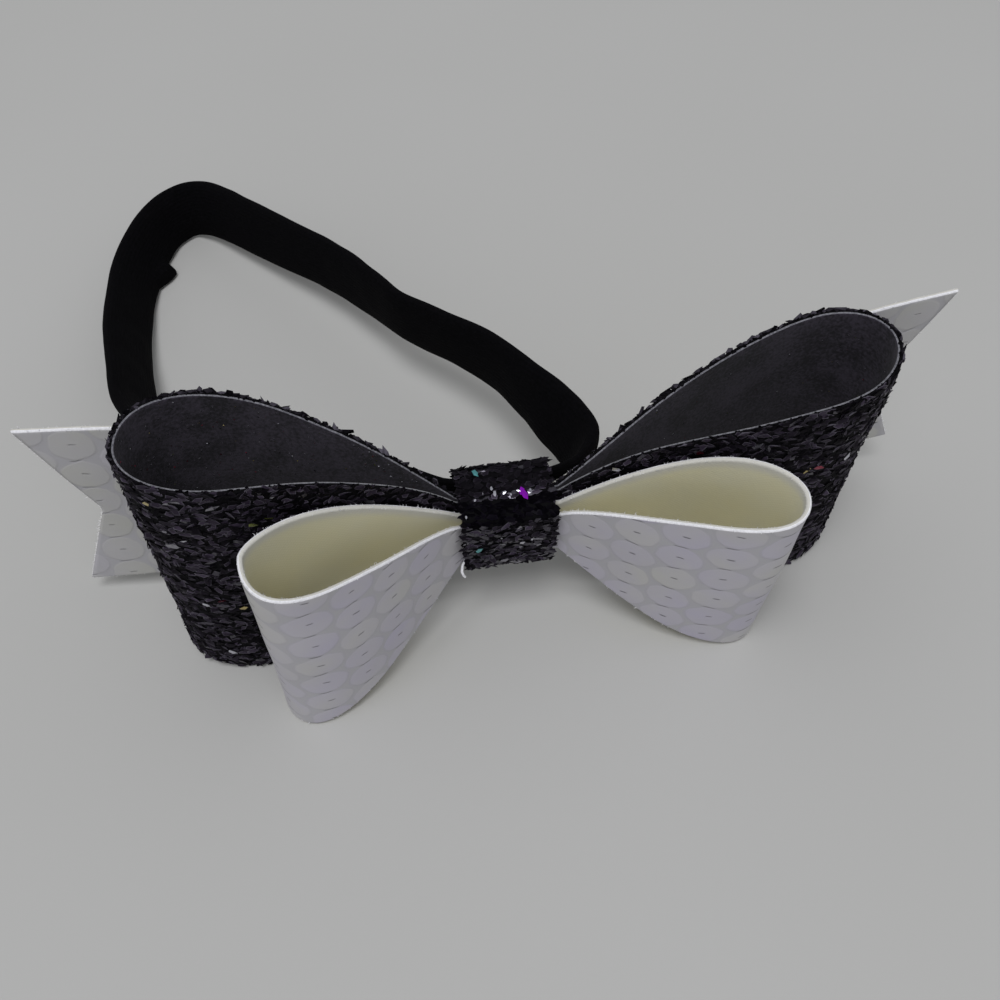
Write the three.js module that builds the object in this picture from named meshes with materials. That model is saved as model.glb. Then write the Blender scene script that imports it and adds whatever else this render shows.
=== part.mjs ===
// A hair bow of folded leather-cloth strips on a soft elastic headband.
// Millimetres, +Z up. The bow faces -Y and the headband lies behind it.
import * as THREE from "three";

// Air between neighbouring layers under the wrap.
const LAYER_GAP = 0.3;

// Thicknesses of the sheets that the bow is cut from.
const BLACK_WALL = 1.0;
const WHITE_WALL = 1.0;
const TAIL_WALL = 1.0;
const WRAP_WALL = 1.1;

// The bow leans forward at the top and is turned a little clockwise as seen from the front.
const BOW_CENTRE_HEIGHT = 21.5;
const BOW_LEAN_DEG = 9.5;
const BOW_ROLL_DEG = 1.4;

// Where the loops leave the pinch, and how far beyond it the strips stay gathered and straight.
const PINCH_HALF_LENGTH = 5.9;
const GATHERED_LENGTH = 1.3;
const STRAIGHT_LENGTH = 0.6;

// The stack under the wrap, from the black loops in the middle to the front and to the back.
const BLACK_MIDDLE_Y = 0;
const WHITE_MIDDLE_Y = BLACK_MIDDLE_Y - BLACK_WALL - WHITE_WALL - 1.5 * LAYER_GAP - LAYER_GAP / 2;
const TAIL_MIDDLE_Y = BLACK_MIDDLE_Y + 1.5 * LAYER_GAP + BLACK_WALL + TAIL_WALL / 2;

// The two folded strips. Each makes a loop to the left and a loop to the right of the wrap.
// belly: larger puts the fullest part of a loop further out. rise: larger lets the strip
// spread to its full width sooner. turnStart: where a loop starts to swing to its own heading.
const BLACK_STRIP = {
  wall: BLACK_WALL,
  middleY: BLACK_MIDDLE_Y,
  reach: 44.3,
  width: 46.1,
  pinchWidth: 11.1,
  belly: 2.14,
  rise: 2.9,
  turnStart: 4.2,
  sag: 0.2,
};
const WHITE_STRIP = {
  wall: WHITE_WALL,
  middleY: WHITE_MIDDLE_Y,
  reach: 29.4,
  width: 38.7,
  pinchWidth: 9.4,
  belly: 1.78,
  rise: 1.87,
  turnStart: 0.9,
  sag: 0.32,
};

// reach, front and back are shares of the strip's reach, width is a share of the strip's width.
// front and back are how far the two walls bulge. turn is the heading, backwards positive.
// lean tips the top forwards, raise lifts the outer end. Angles are in degrees.
const BLACK_LOOPS = [
  { side: -1, reach: 0.961, front: 0.236, back: 0.282, width: 1.041, turn: -2.1, lean: -2.2, raise: 6.0 },
  { side: 1, reach: 1.038, front: 0.251, back: 0.258, width: 0.96, turn: 5.2, lean: 0.2, raise: 4.7 },
];
const WHITE_LOOPS = [
  { side: -1, reach: 0.976, front: 0.404, back: 0.132, width: 1.033, turn: -22.3, lean: -0.3, raise: 2.5 },
  { side: 1, reach: 1.01, front: 0.292, back: 0.21, width: 0.967, turn: -21.0, lean: 2.0, raise: 3.4 },
];
const LOOP_STATIONS = 46;

// The tail strip passes behind the black loops and ends in a swallow-tail on each side.
const TAIL_REACH = 65;
const TAIL_WIDTH = 38.1;
const TAIL_PINCH_WIDTH = 9.6;
const TAIL_NOTCH_DEPTH = 7;
const TAIL_NOTCH_ZONE = 16;
const TAIL_SPREAD_LENGTH = 58;
const TAIL_SPREAD_RISE = 2.2;
const TAIL_LEFT_SLOPE_DEG = 2.1;
const TAIL_RIGHT_SLOPE_DEG = 3;
// The left end is cut this much shorter, and the right end is cut at a slant.
const TAIL_LEFT_SHORTENING = 0.7;
const TAIL_RIGHT_SLANT_DEG = 2.4;
const TAIL_LEFT_LEAN_DEG = -2.6;
const TAIL_RIGHT_LEAN_DEG = 2.7;
const TAIL_LEVELS = 9;
// How far the tail strip stands behind its place in the stack, as shares of TAIL_REACH.
const TAIL_PATH = [
  { across: 0.0, left: 0.0, right: 0.0 },
  { across: 0.105, left: 0.0, right: 0.0 },
  { across: 0.18, left: 0.02, right: 0.021 },
  { across: 0.3, left: 0.054, right: 0.064 },
  { across: 0.45, left: 0.09, right: 0.118 },
  { across: 0.58, left: 0.107, right: 0.15 },
  { across: 0.72, left: 0.118, right: 0.165 },
  { across: 0.86, left: 0.132, right: 0.178 },
  { across: 1.0, left: 0.148, right: 0.191 },
];

// The headband, a flat soft tube. It is squeezed where it runs through the wrap.
const BAND_WIDTH = 11;
const BAND_THICKNESS = 3;
const BAND_SQUEEZED_WIDTH = 10;
const BAND_SQUEEZED_THICKNESS = 1.6;
const BAND_MIDDLE_Y = TAIL_MIDDLE_Y + TAIL_WALL / 2 + LAYER_GAP + BAND_SQUEEZED_THICKNESS / 2;
const BAND_SQUARENESS = 2.6;
// How far outside the wrap the band stays squeezed.
const BAND_EXIT_LENGTH = 0.6;
const BAND_STRAIGHT_END = 1.5;
const BAND_STATIONS = 132;
const BAND_SECTION_POINTS = 16;
const BAND_LEFT_REACH = 61.2;
const BAND_BACK_REACH = 104.7;
// The middle line of the headband, round the loop from the right end of the wrap.
// across is a share of BAND_LEFT_REACH, back of BAND_BACK_REACH, up of BOW_CENTRE_HEIGHT.
// lean is how far the upper edge tips outwards, in degrees.
const BAND_PATH = [
  { across: 0.178, back: 0.054, up: 1.0, lean: 13 },
  { across: 0.212, back: 0.1, up: 0.977, lean: 20 },
  { across: 0.198, back: 0.141, up: 0.958, lean: 21 },
  { across: 0.169, back: 0.183, up: 0.935, lean: 20 },
  { across: 0.119, back: 0.253, up: 0.888, lean: 10 },
  { across: 0.057, back: 0.332, up: 0.837, lean: 3 },
  { across: -0.06, back: 0.424, up: 0.767, lean: -2 },
  { across: -0.17, back: 0.502, up: 0.707, lean: -3 },
  { across: -0.247, back: 0.581, up: 0.651, lean: 0 },
  { across: -0.317, back: 0.652, up: 0.595, lean: 4 },
  { across: -0.395, back: 0.72, up: 0.54, lean: 8 },
  { across: -0.502, back: 0.8, up: 0.467, lean: 12 },
  { across: -0.627, back: 0.893, up: 0.391, lean: 16 },
  { across: -0.69, back: 0.942, up: 0.344, lean: 20 },
  { across: -0.766, back: 0.987, up: 0.298, lean: 20 },
  { across: -0.832, back: 1.0, up: 0.26, lean: 16 },
  { across: -0.899, back: 0.976, up: 0.242, lean: 20 },
  { across: -0.951, back: 0.92, up: 0.232, lean: 27 },
  { across: -0.993, back: 0.817, up: 0.228, lean: 33 },
  { across: -1.0, back: 0.727, up: 0.265, lean: 33 },
  { across: -0.995, back: 0.629, up: 0.326, lean: 31 },
  { across: -0.959, back: 0.48, up: 0.447, lean: 30 },
  { across: -0.926, back: 0.386, up: 0.54, lean: 28 },
  { across: -0.842, back: 0.301, up: 0.665, lean: 24 },
  { across: -0.69, back: 0.226, up: 0.8, lean: 20 },
  { across: -0.507, back: 0.159, up: 0.91, lean: 16 },
  { across: -0.327, back: 0.104, up: 0.985, lean: 12 },
  { across: -0.204, back: 0.064, up: 1.02, lean: 10 },
];
// The heat-joined ends of the band make a small tab at its lower, inner edge.
const SEAM_AROUND = 0.58;
const SEAM_LENGTH = 4.2;
const SEAM_HEIGHT = 1.8;

// The wrap, a short strip bound round the pinch.
const WRAP_WIDTH = 12.9;
const WRAP_MIDDLE_X = -0.35;
const WRAP_LOWER_FRONT_NARROWING = 0.11;
const WRAP_INNER_HALF_HEIGHT = 6.1;
const WRAP_FRONT_CORNER = 1.1;
const WRAP_BACK_CORNER = 2.9;
const WRAP_CORNER_STEPS = 6;
const WRAP_SLACK = 0.12;
const WRAP_FRONT_Y = WHITE_MIDDLE_Y - 1.5 * LAYER_GAP - WHITE_WALL - WRAP_SLACK;
const WRAP_BACK_Y = BAND_MIDDLE_Y + BAND_SQUEEZED_THICKNESS / 2 + LAYER_GAP + WRAP_SLACK;

const radians = THREE.MathUtils.degToRad;
const clamp = THREE.MathUtils.clamp;
const mix = THREE.MathUtils.lerp;
const ease = (share) => share * share * (3 - 2 * share);

const bowTurn = new THREE.Matrix4()
  .makeRotationY(radians(BOW_ROLL_DEG))
  .multiply(new THREE.Matrix4().makeRotationX(radians(BOW_LEAN_DEG)));
bowTurn.setPosition(0, 0, BOW_CENTRE_HEIGHT);

// A point given in the bow's own upright frame, moved to where the leaning bow stands.
function onBow(x, y, z) {
  return new THREE.Vector3(x, y, z).applyMatrix4(bowTurn);
}

// Makes a mesh from points and triangles, with its faces turned outwards.
function solid(name, points, triangles, look) {
  let volume = 0;
  for (const [a, b, c] of triangles) {
    volume += points[a].dot(new THREE.Vector3().crossVectors(points[b], points[c]));
  }
  const positions = [];
  for (const [a, b, c] of triangles) {
    const order = volume > 0 ? [a, b, c] : [a, c, b];
    for (const index of order) {
      positions.push(points[index].x, points[index].y, points[index].z);
    }
  }
  const geometry = new THREE.BufferGeometry();
  geometry.setAttribute("position", new THREE.Float32BufferAttribute(positions, 3));
  geometry.computeVertexNormals();
  const material = new THREE.MeshStandardMaterial(look);
  const mesh = new THREE.Mesh(geometry, material);
  mesh.name = name;
  return mesh;
}

// A closed ring swept through sections that all have the same number of points.
function ringSolid(name, sections, look) {
  const count = sections[0].length;
  const points = sections.flat();
  const triangles = [];
  sections.forEach((section, s) => {
    const here = s * count;
    const there = ((s + 1) % sections.length) * count;
    for (let i = 0; i < count; i += 1) {
      const j = (i + 1) % count;
      triangles.push([here + i, there + i, there + j]);
      triangles.push([here + i, there + j, here + j]);
    }
  });
  return solid(name, points, triangles, look);
}

// Where a loop's wall runs in plan: out from the wrap along the front and back along the rear.
function loopPlan(strip, loop, angle) {
  const reach = strip.reach * loop.reach;
  const out = (reach * (1 - Math.cos(angle))) / 2;
  const share = out / reach;
  const bulge = Math.abs(Math.sin(angle)) * Math.sin(angle / 2) ** strip.belly;
  const pinched = ((strip.wall + LAYER_GAP) / 2) * (1 - share);
  const wallY =
    angle <= Math.PI
      ? -(strip.reach * loop.front * bulge + pinched)
      : strip.reach * loop.back * bulge + pinched;
  const free = Math.max(out - STRAIGHT_LENGTH, 0);
  const swung = free - strip.turnStart * (1 - Math.exp(-free / strip.turnStart));
  return { out, share, y: wallY + Math.tan(radians(loop.turn)) * swung };
}

// The four corners of the wall's section at one angle round a loop.
function loopSection(strip, loop, angle) {
  const step = 0.05;
  const here = loopPlan(strip, loop, angle);
  const before = loopPlan(strip, loop, Math.max(angle - step, 0));
  const after = loopPlan(strip, loop, Math.min(angle + step, 2 * Math.PI));
  const run = Math.hypot(after.out - before.out, after.y - before.y);
  const normalOut = (after.y - before.y) / run;
  const normalY = -(after.out - before.out) / run;

  const reach = strip.reach * loop.reach;
  const spread = clamp((here.out - GATHERED_LENGTH) / (reach - GATHERED_LENGTH), 0, 1);
  const pinchHalf = strip.pinchWidth / 2;
  const endHalf = (strip.width * loop.width) / 2;
  const half = pinchHalf + (endHalf - pinchHalf) * (1 - (1 - spread) ** strip.rise);
  const lean = radians(loop.lean) * ease(here.share);
  const raised = Math.tan(radians(loop.raise)) * here.out * here.share;

  const corner = (offset, level) => {
    const out = here.out + normalOut * offset;
    const y = here.y + normalY * offset;
    const z = level * half - strip.sag;
    return onBow(
      loop.side * (PINCH_HALF_LENGTH + out),
      strip.middleY + y * Math.cos(lean) - z * Math.sin(lean),
      y * Math.sin(lean) + z * Math.cos(lean) + raised,
    );
  };
  const outer = strip.wall / 2;
  return [corner(outer, -1), corner(outer, 1), corner(-outer, 1), corner(-outer, -1)];
}

// Both loops of a strip are one closed ring, so its two walls pass through the wrap.
function loopPair(name, strip, loops, look) {
  const [left, right] = loops;
  const sections = [];
  for (let i = 0; i <= LOOP_STATIONS; i += 1) {
    sections.push(loopSection(strip, right, (2 * Math.PI * i) / LOOP_STATIONS));
  }
  for (let i = LOOP_STATIONS; i >= 0; i -= 1) {
    sections.push(loopSection(strip, left, (2 * Math.PI * i) / LOOP_STATIONS));
  }
  return ringSolid(name, sections, look);
}

// The tail strip: a grid of points on its front face and the same grid on its back face.
function tailStrip(name, look) {
  const side = (column) =>
    new THREE.CatmullRomCurve3(
      TAIL_PATH.map((row) => new THREE.Vector3(row.across * TAIL_REACH, row[column] * TAIL_REACH, 0)),
      false,
      "centripetal",
    ).getPoints(200);
  const leftLine = side("left");
  const rightLine = side("right");
  const standsBack = (x) => {
    const line = x < 0 ? leftLine : rightLine;
    const away = Math.abs(x);
    const next = line.findIndex((point) => point.x >= away);
    if (next <= 0) {
      return next === 0 ? line[0].y : line[line.length - 1].y;
    }
    const from = line[next - 1];
    const to = line[next];
    return Math.max(mix(from.y, to.y, (away - from.x) / (to.x - from.x)), 0);
  };

  const columns = [];
  for (let i = -30; i <= 30; i += 1) {
    columns.push((TAIL_REACH * i) / 30);
  }
  const place = (column, level, face) => {
    const away = Math.abs(column);
    const inNotch = clamp((away - TAIL_REACH + TAIL_NOTCH_ZONE) / TAIL_NOTCH_ZONE, 0, 1);
    const x = Math.sign(column) * (away - inNotch * TAIL_NOTCH_DEPTH * (1 - Math.abs(level)));
    const free = clamp((Math.abs(x) - WRAP_WIDTH / 2 - LAYER_GAP) / TAIL_SPREAD_LENGTH, 0, 1);
    const half = mix(TAIL_PINCH_WIDTH, TAIL_WIDTH, 1 - (1 - free) ** TAIL_SPREAD_RISE) / 2;
    const leanDeg = x < 0 ? TAIL_LEFT_LEAN_DEG : TAIL_RIGHT_LEAN_DEG;
    const lean = radians(leanDeg) * ease(clamp(Math.abs(x) / TAIL_REACH, 0, 1));
    const step = 0.2;
    const slope = (standsBack(x + step) - standsBack(x - step)) / (2 * step);
    const length = Math.hypot(1, slope);
    const offset = (face * TAIL_WALL) / 2;
    const z = level * half;
    const outer = (x / TAIL_REACH) ** 2;
    const trimmed = x < 0 ? TAIL_LEFT_SHORTENING * outer : -Math.tan(radians(TAIL_RIGHT_SLANT_DEG)) * z * outer;
    const slopeDeg = x < 0 ? TAIL_LEFT_SLOPE_DEG : TAIL_RIGHT_SLOPE_DEG;
    return onBow(
      x + trimmed - (slope / length) * offset,
      TAIL_MIDDLE_Y + standsBack(x) + offset / length - z * Math.sin(lean),
      z * Math.cos(lean) + Math.tan(radians(slopeDeg)) * x * Math.sqrt(free),
    );
  };

  const points = [];
  for (const face of [-1, 1]) {
    for (const column of columns) {
      for (let l = 0; l < TAIL_LEVELS; l += 1) {
        points.push(place(column, -1 + (2 * l) / (TAIL_LEVELS - 1), face));
      }
    }
  }
  const at = (face, c, l) => (face * columns.length + c) * TAIL_LEVELS + l;
  const triangles = [];
  const quad = (a, b, c, d) => {
    triangles.push([a, b, c], [a, c, d]);
  };
  const lastColumn = columns.length - 1;
  const lastLevel = TAIL_LEVELS - 1;
  for (let c = 0; c < lastColumn; c += 1) {
    for (let l = 0; l < lastLevel; l += 1) {
      quad(at(0, c, l), at(0, c + 1, l), at(0, c + 1, l + 1), at(0, c, l + 1));
      quad(at(1, c, l), at(1, c, l + 1), at(1, c + 1, l + 1), at(1, c + 1, l));
    }
    quad(at(0, c, 0), at(1, c, 0), at(1, c + 1, 0), at(0, c + 1, 0));
    quad(at(0, c, lastLevel), at(0, c + 1, lastLevel), at(1, c + 1, lastLevel), at(1, c, lastLevel));
  }
  for (let l = 0; l < lastLevel; l += 1) {
    quad(at(0, 0, l), at(0, 0, l + 1), at(1, 0, l + 1), at(1, 0, l));
    quad(at(0, lastColumn, l), at(1, lastColumn, l), at(1, lastColumn, l + 1), at(0, lastColumn, l + 1));
  }
  return solid(name, points, triangles, look);
}

// The wrap's inner outline, seen from the right end: a box with small front and large back corners.
function wrapOutline() {
  const corners = [
    { y: WRAP_FRONT_Y, z: -1, radius: WRAP_FRONT_CORNER, from: 180 },
    { y: WRAP_BACK_Y, z: -1, radius: WRAP_BACK_CORNER, from: 270 },
    { y: WRAP_BACK_Y, z: 1, radius: WRAP_BACK_CORNER, from: 0 },
    { y: WRAP_FRONT_Y, z: 1, radius: WRAP_FRONT_CORNER, from: 90 },
  ];
  const outline = [];
  for (const corner of corners) {
    const inward = corner.y === WRAP_FRONT_Y ? 1 : -1;
    const middleY = corner.y + inward * corner.radius;
    const middleZ = corner.z * (WRAP_INNER_HALF_HEIGHT - corner.radius);
    for (let i = 0; i <= WRAP_CORNER_STEPS; i += 1) {
      const angle = radians(corner.from + (90 * i) / WRAP_CORNER_STEPS);
      outline.push({
        y: middleY + corner.radius * Math.cos(angle),
        z: middleZ + corner.radius * Math.sin(angle),
        normalY: Math.cos(angle),
        normalZ: Math.sin(angle),
      });
    }
  }
  return outline;
}

function wrapRing(name, look) {
  const sections = wrapOutline().map((point) => {
    const low = clamp(-point.z / WRAP_INNER_HALF_HEIGHT, 0, 1);
    const forward = clamp(point.y / WRAP_FRONT_Y, 0, 1);
    const half = (WRAP_WIDTH / 2) * (1 - WRAP_LOWER_FRONT_NARROWING * low * forward);
    const outerY = point.y + point.normalY * WRAP_WALL;
    const outerZ = point.z + point.normalZ * WRAP_WALL;
    return [
      onBow(WRAP_MIDDLE_X - half, outerY, outerZ),
      onBow(WRAP_MIDDLE_X + half, outerY, outerZ),
      onBow(WRAP_MIDDLE_X + half, point.y, point.z),
      onBow(WRAP_MIDDLE_X - half, point.y, point.z),
    ];
  });
  return ringSolid(name, sections, look);
}

// The headband's stations: a point, and its lean, width and thickness.
function bandStations() {
  const exit = WRAP_WIDTH / 2 + BAND_EXIT_LENGTH;
  const inside = exit - BAND_STRAIGHT_END;
  const inWrap = [-exit, -inside, inside, exit].map((x) => ({
    point: onBow(WRAP_MIDDLE_X + x, BAND_MIDDLE_Y + (Math.abs(x) === exit ? WRAP_SLACK : 0), 0),
    lean: BOW_LEAN_DEG,
    squeezed: 1,
  }));
  const free = BAND_PATH.map((row, i) => ({
    point: new THREE.Vector3(
      row.across * BAND_LEFT_REACH,
      row.back * BAND_BACK_REACH,
      row.up * BOW_CENTRE_HEIGHT,
    ),
    lean: row.lean,
    squeezed: i === 0 || i === BAND_PATH.length - 1 ? 0.45 : 0,
  }));
  return [...inWrap, ...free];
}

function headband(name, look) {
  const stations = bandStations();
  const line = new THREE.CatmullRomCurve3(
    stations.map((station) => station.point),
    true,
    "centripetal",
  );
  const total = stations.length;
  const length = line.getLength();
  const up = new THREE.Vector3(0, 0, 1);
  const sections = [];
  for (let s = 0; s < BAND_STATIONS; s += 1) {
    const around = s / BAND_STATIONS;
    const raw = line.getUtoTmapping(around) * total;
    const from = stations[Math.floor(raw) % total];
    const to = stations[(Math.floor(raw) + 1) % total];
    const part = ease(raw - Math.floor(raw));
    const lean = radians(mix(from.lean, to.lean, part));
    const squeezed = mix(from.squeezed, to.squeezed, part);
    const halfWidth = mix(BAND_WIDTH, BAND_SQUEEZED_WIDTH, squeezed) / 2;
    const halfThickness = mix(BAND_THICKNESS, BAND_SQUEEZED_THICKNESS, squeezed) / 2;

    const middle = line.getPointAt(around);
    const tangent = line.getTangentAt(around);
    const outward = new THREE.Vector3().crossVectors(tangent, up).normalize();
    const upright = new THREE.Vector3().crossVectors(outward, tangent).normalize();
    const wide = upright.clone().multiplyScalar(Math.cos(lean)).addScaledVector(outward, Math.sin(lean));
    const thin = outward.clone().multiplyScalar(Math.cos(lean)).addScaledVector(upright, -Math.sin(lean));

    const fromSeam = (Math.abs(around - SEAM_AROUND) * length) / (SEAM_LENGTH / 2);
    const seam = SEAM_HEIGHT * clamp((1 - fromSeam) * 4, 0, 1);
    const section = [];
    for (let i = 0; i < BAND_SECTION_POINTS; i += 1) {
      const angle = (2 * Math.PI * i) / BAND_SECTION_POINTS;
      const round = (value) => Math.sign(value) * Math.abs(value) ** (2 / BAND_SQUARENESS);
      const wideShare = round(Math.cos(angle));
      const thinShare = round(Math.sin(angle));
      const point = middle
        .clone()
        .addScaledVector(wide, wideShare * halfWidth)
        .addScaledVector(thin, thinShare * halfThickness);
      if (wideShare < -0.5) {
        point.addScaledVector(outward, -seam * -wideShare);
      }
      section.push(point);
    }
    sections.push(section);
  }
  return ringSolid(name, sections, look);
}

const group = new THREE.Group();
group.name = "bow_headband";
group.add(
  loopPair("black_loops", BLACK_STRIP, BLACK_LOOPS, {
    name: "black_glitter_leather",
    color: 0x17171b,
    roughness: 0.5,
    metalness: 0,
  }),
  loopPair("white_loops", WHITE_STRIP, WHITE_LOOPS, {
    name: "pearl_leather",
    color: 0xa9a8b0,
    roughness: 0.55,
    metalness: 0,
  }),
  tailStrip("tails", {
    name: "pearl_tail_leather",
    color: 0xa6a6a8,
    roughness: 0.55,
    metalness: 0,
  }),
  wrapRing("centre_wrap", {
    name: "black_wrap_leather",
    color: 0x101014,
    roughness: 0.5,
    metalness: 0,
  }),
  headband("headband", {
    name: "black_elastic",
    color: 0x070709,
    roughness: 0.95,
    metalness: 0,
  }),
);

// The origin lies at the middle of the bottom of the whole object's box.
const box = new THREE.Box3().setFromObject(group);
const centre = box.getCenter(new THREE.Vector3());
for (const mesh of group.children) {
  mesh.geometry.translate(-centre.x, -centre.y, -box.min.z);
}

export default group;
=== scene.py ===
# The looks of a hair bow on a soft headband, in metres in the part's own frame.
# The bow faces -Y. Sheet sizes and the shapes of the loops are the part's own, in millimetres.
import math

import bpy
import numpy as np
from mathutils import Matrix, Vector, noise


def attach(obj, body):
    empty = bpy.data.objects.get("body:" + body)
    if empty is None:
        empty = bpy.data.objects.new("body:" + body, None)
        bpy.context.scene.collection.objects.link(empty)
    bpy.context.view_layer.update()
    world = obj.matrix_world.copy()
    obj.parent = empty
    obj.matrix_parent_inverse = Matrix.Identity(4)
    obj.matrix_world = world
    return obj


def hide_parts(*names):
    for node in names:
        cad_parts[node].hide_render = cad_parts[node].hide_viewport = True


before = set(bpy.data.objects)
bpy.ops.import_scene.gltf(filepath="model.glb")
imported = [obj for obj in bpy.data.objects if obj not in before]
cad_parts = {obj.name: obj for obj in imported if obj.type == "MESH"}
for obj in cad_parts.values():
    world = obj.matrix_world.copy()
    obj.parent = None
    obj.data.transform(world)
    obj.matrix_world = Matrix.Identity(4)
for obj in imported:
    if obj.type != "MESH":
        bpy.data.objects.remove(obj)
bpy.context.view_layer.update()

MM = 0.001
rng = np.random.default_rng(11)

# Camera, at the photograph's angle
CAMERA_PLACE = (-12.676, -150.155, 154.25)
CAMERA_AROUND_DEG = -6.06
CAMERA_ABOVE_DEG = 50.0
CAMERA_ROLL_DEG = -3.4
CAMERA_LENS = 43.2
CAMERA_SENSOR = 36
CAMERA_NEAREST = 0.005


def add_camera():
    around, above, roll = (math.radians(v) for v in (CAMERA_AROUND_DEG, CAMERA_ABOVE_DEG, CAMERA_ROLL_DEG))
    back = Vector((math.sin(around) * math.cos(above), -math.cos(around) * math.cos(above), math.sin(above)))
    right = Vector((math.cos(around), math.sin(around), 0))
    up = back.cross(right)
    across = right * math.cos(roll) + up * math.sin(roll)
    upright = up * math.cos(roll) - right * math.sin(roll)
    turn = Matrix((across, upright, back)).transposed().to_4x4()
    data = bpy.data.cameras.new("photo_camera")
    data.lens = CAMERA_LENS
    data.sensor_width = CAMERA_SENSOR
    data.clip_start = CAMERA_NEAREST
    camera = bpy.data.objects.new("photo_camera", data)
    camera.matrix_world = Matrix.Translation(Vector(CAMERA_PLACE) * MM) @ turn
    bpy.context.scene.collection.objects.link(camera)
    bpy.context.scene.camera = camera


add_camera()

# Shape of the bow, as in the part
LAYER_GAP = 0.3
PINCH_HALF_LENGTH = 5.9
GATHERED_LENGTH = 1.3
STRAIGHT_LENGTH = 0.6
BOW_CENTRE_HEIGHT = 21.5
BOW_LEAN_DEG = 9.5
BOW_ROLL_DEG = 1.4
# The part's origin is the middle of the bottom of its box, so all is moved by this.
BOX_SHIFT = np.array([-0.350, -42.020, -0.003])

BLACK_STRIP = dict(
    wall=1.0, middle_y=0.0, reach=44.3, width=46.1, pinch_width=11.1,
    belly=2.14, rise=2.9, turn_start=4.2, sag=0.2,
)
WHITE_STRIP = dict(
    wall=1.0, middle_y=-2.6, reach=29.4, width=38.7, pinch_width=9.4,
    belly=1.78, rise=1.87, turn_start=0.9, sag=0.32,
)
BLACK_LOOPS = [
    dict(side=-1, reach=0.961, front=0.236, back=0.282, width=1.041, turn=-2.1, lean=-2.2, lift=6.0),
    dict(side=1, reach=1.038, front=0.251, back=0.258, width=0.96, turn=5.2, lean=0.2, lift=4.7),
]
WHITE_LOOPS = [
    dict(side=-1, reach=0.976, front=0.404, back=0.132, width=1.033, turn=-22.3, lean=-0.3, lift=2.5),
    dict(side=1, reach=1.01, front=0.292, back=0.21, width=0.967, turn=-21.0, lean=2.0, lift=3.4),
]

TAIL_WALL = 1.0
TAIL_MIDDLE_Y = 1.95
TAIL_REACH = 65
TAIL_WIDTH = 38.1
TAIL_PINCH_WIDTH = 9.6
TAIL_NOTCH_DEPTH = 7
TAIL_NOTCH_ZONE = 16
TAIL_SPREAD_LENGTH = 58
TAIL_SPREAD_RISE = 2.2
TAIL_SLOPE_DEG = {-1: 2.1, 1: 3.0}
TAIL_LEFT_SHORTENING = 0.7
TAIL_RIGHT_SLANT_DEG = 2.4
TAIL_LEAN_DEG = {-1: -2.6, 1: 2.7}
# Next to the wrap the tails are tucked in behind the black loops.
TAIL_TUCK = 0.3
TAIL_TUCK_LENGTH = 8.0
# across, and how far back the left and the right tail stand, as shares of TAIL_REACH
TAIL_PATH = np.array(
    [
        (0.0, 0.0, 0.0),
        (0.105, 0.0, 0.0),
        (0.18, 0.02, 0.021),
        (0.3, 0.054, 0.064),
        (0.45, 0.09, 0.118),
        (0.58, 0.107, 0.15),
        (0.72, 0.118, 0.165),
        (0.86, 0.132, 0.178),
        (1.0, 0.148, 0.191),
    ]
)

WRAP_WALL = 1.1
WRAP_WIDTH = 12.9
WRAP_MIDDLE_X = -0.35
WRAP_LOWER_FRONT_NARROWING = 0.11
WRAP_INNER_HALF_HEIGHT = 6.1
WRAP_FRONT_CORNER = 1.1
WRAP_BACK_CORNER = 2.9
WRAP_FRONT_Y = -4.17
WRAP_BACK_Y = 4.77
# The lower part of the wrap's front stands out a little: how far, at what height, over what height
WRAP_BULGE, WRAP_BULGE_Z, WRAP_BULGE_SPREAD = 0.35, -3.4, 2.4

BAND_WIDTH = 11
BAND_THICKNESS = 3
BAND_SQUEEZED_WIDTH = 10
BAND_SQUEEZED_THICKNESS = 1.6
BAND_MIDDLE_Y = 3.55
BAND_SLACK = 0.12
BAND_EXIT_LENGTH = 0.6
BAND_STRAIGHT_END = 1.5
BAND_END_SQUEEZED = 0.45
# The power of the rounded oblong that the band's section is, and how much its form waves and creases
BAND_SECTION_POWER = 2.6
BAND_WIDTH_WAVES, BAND_WAVES, BAND_CREASES = 0.04, 0.25, 0.22
BAND_LEFT_REACH = 61.2
BAND_BACK_REACH = 104.7
SEAM_AROUND = 0.575
SEAM_HEIGHT = 2.6
# how far along the seam, in mm, its end stands out at full and at no height
SEAM_PROFILE = [(-2.2, 0.0), (-1.2, 0.9), (-0.4, 1.0), (1.6, 0.75), (4.6, 0.0)]
# across, back and up, as shares of the two reaches and the bow's height, and the lean in degrees
BAND_PATH = [
    (0.178, 0.054, 1.0, 13),
    (0.212, 0.1, 0.977, 20),
    (0.198, 0.141, 0.958, 21),
    (0.169, 0.183, 0.935, 20),
    (0.119, 0.253, 0.888, 10),
    (0.057, 0.332, 0.837, 3),
    (-0.06, 0.424, 0.767, -2),
    (-0.17, 0.502, 0.707, -3),
    (-0.247, 0.581, 0.651, 0),
    (-0.317, 0.652, 0.595, 4),
    (-0.395, 0.72, 0.54, 8),
    (-0.502, 0.8, 0.467, 12),
    (-0.627, 0.893, 0.391, 16),
    (-0.69, 0.942, 0.344, 20),
    (-0.766, 0.987, 0.298, 20),
    (-0.832, 1.0, 0.26, 16),
    (-0.899, 0.976, 0.242, 20),
    (-0.951, 0.92, 0.232, 27),
    (-0.993, 0.817, 0.228, 33),
    (-1.0, 0.727, 0.265, 33),
    (-0.995, 0.629, 0.326, 31),
    (-0.959, 0.48, 0.447, 30),
    (-0.926, 0.386, 0.54, 28),
    (-0.842, 0.301, 0.665, 24),
    (-0.69, 0.226, 0.8, 20),
    (-0.507, 0.159, 0.91, 16),
    (-0.327, 0.104, 0.985, 12),
    (-0.204, 0.064, 1.02, 10),
]


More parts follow.
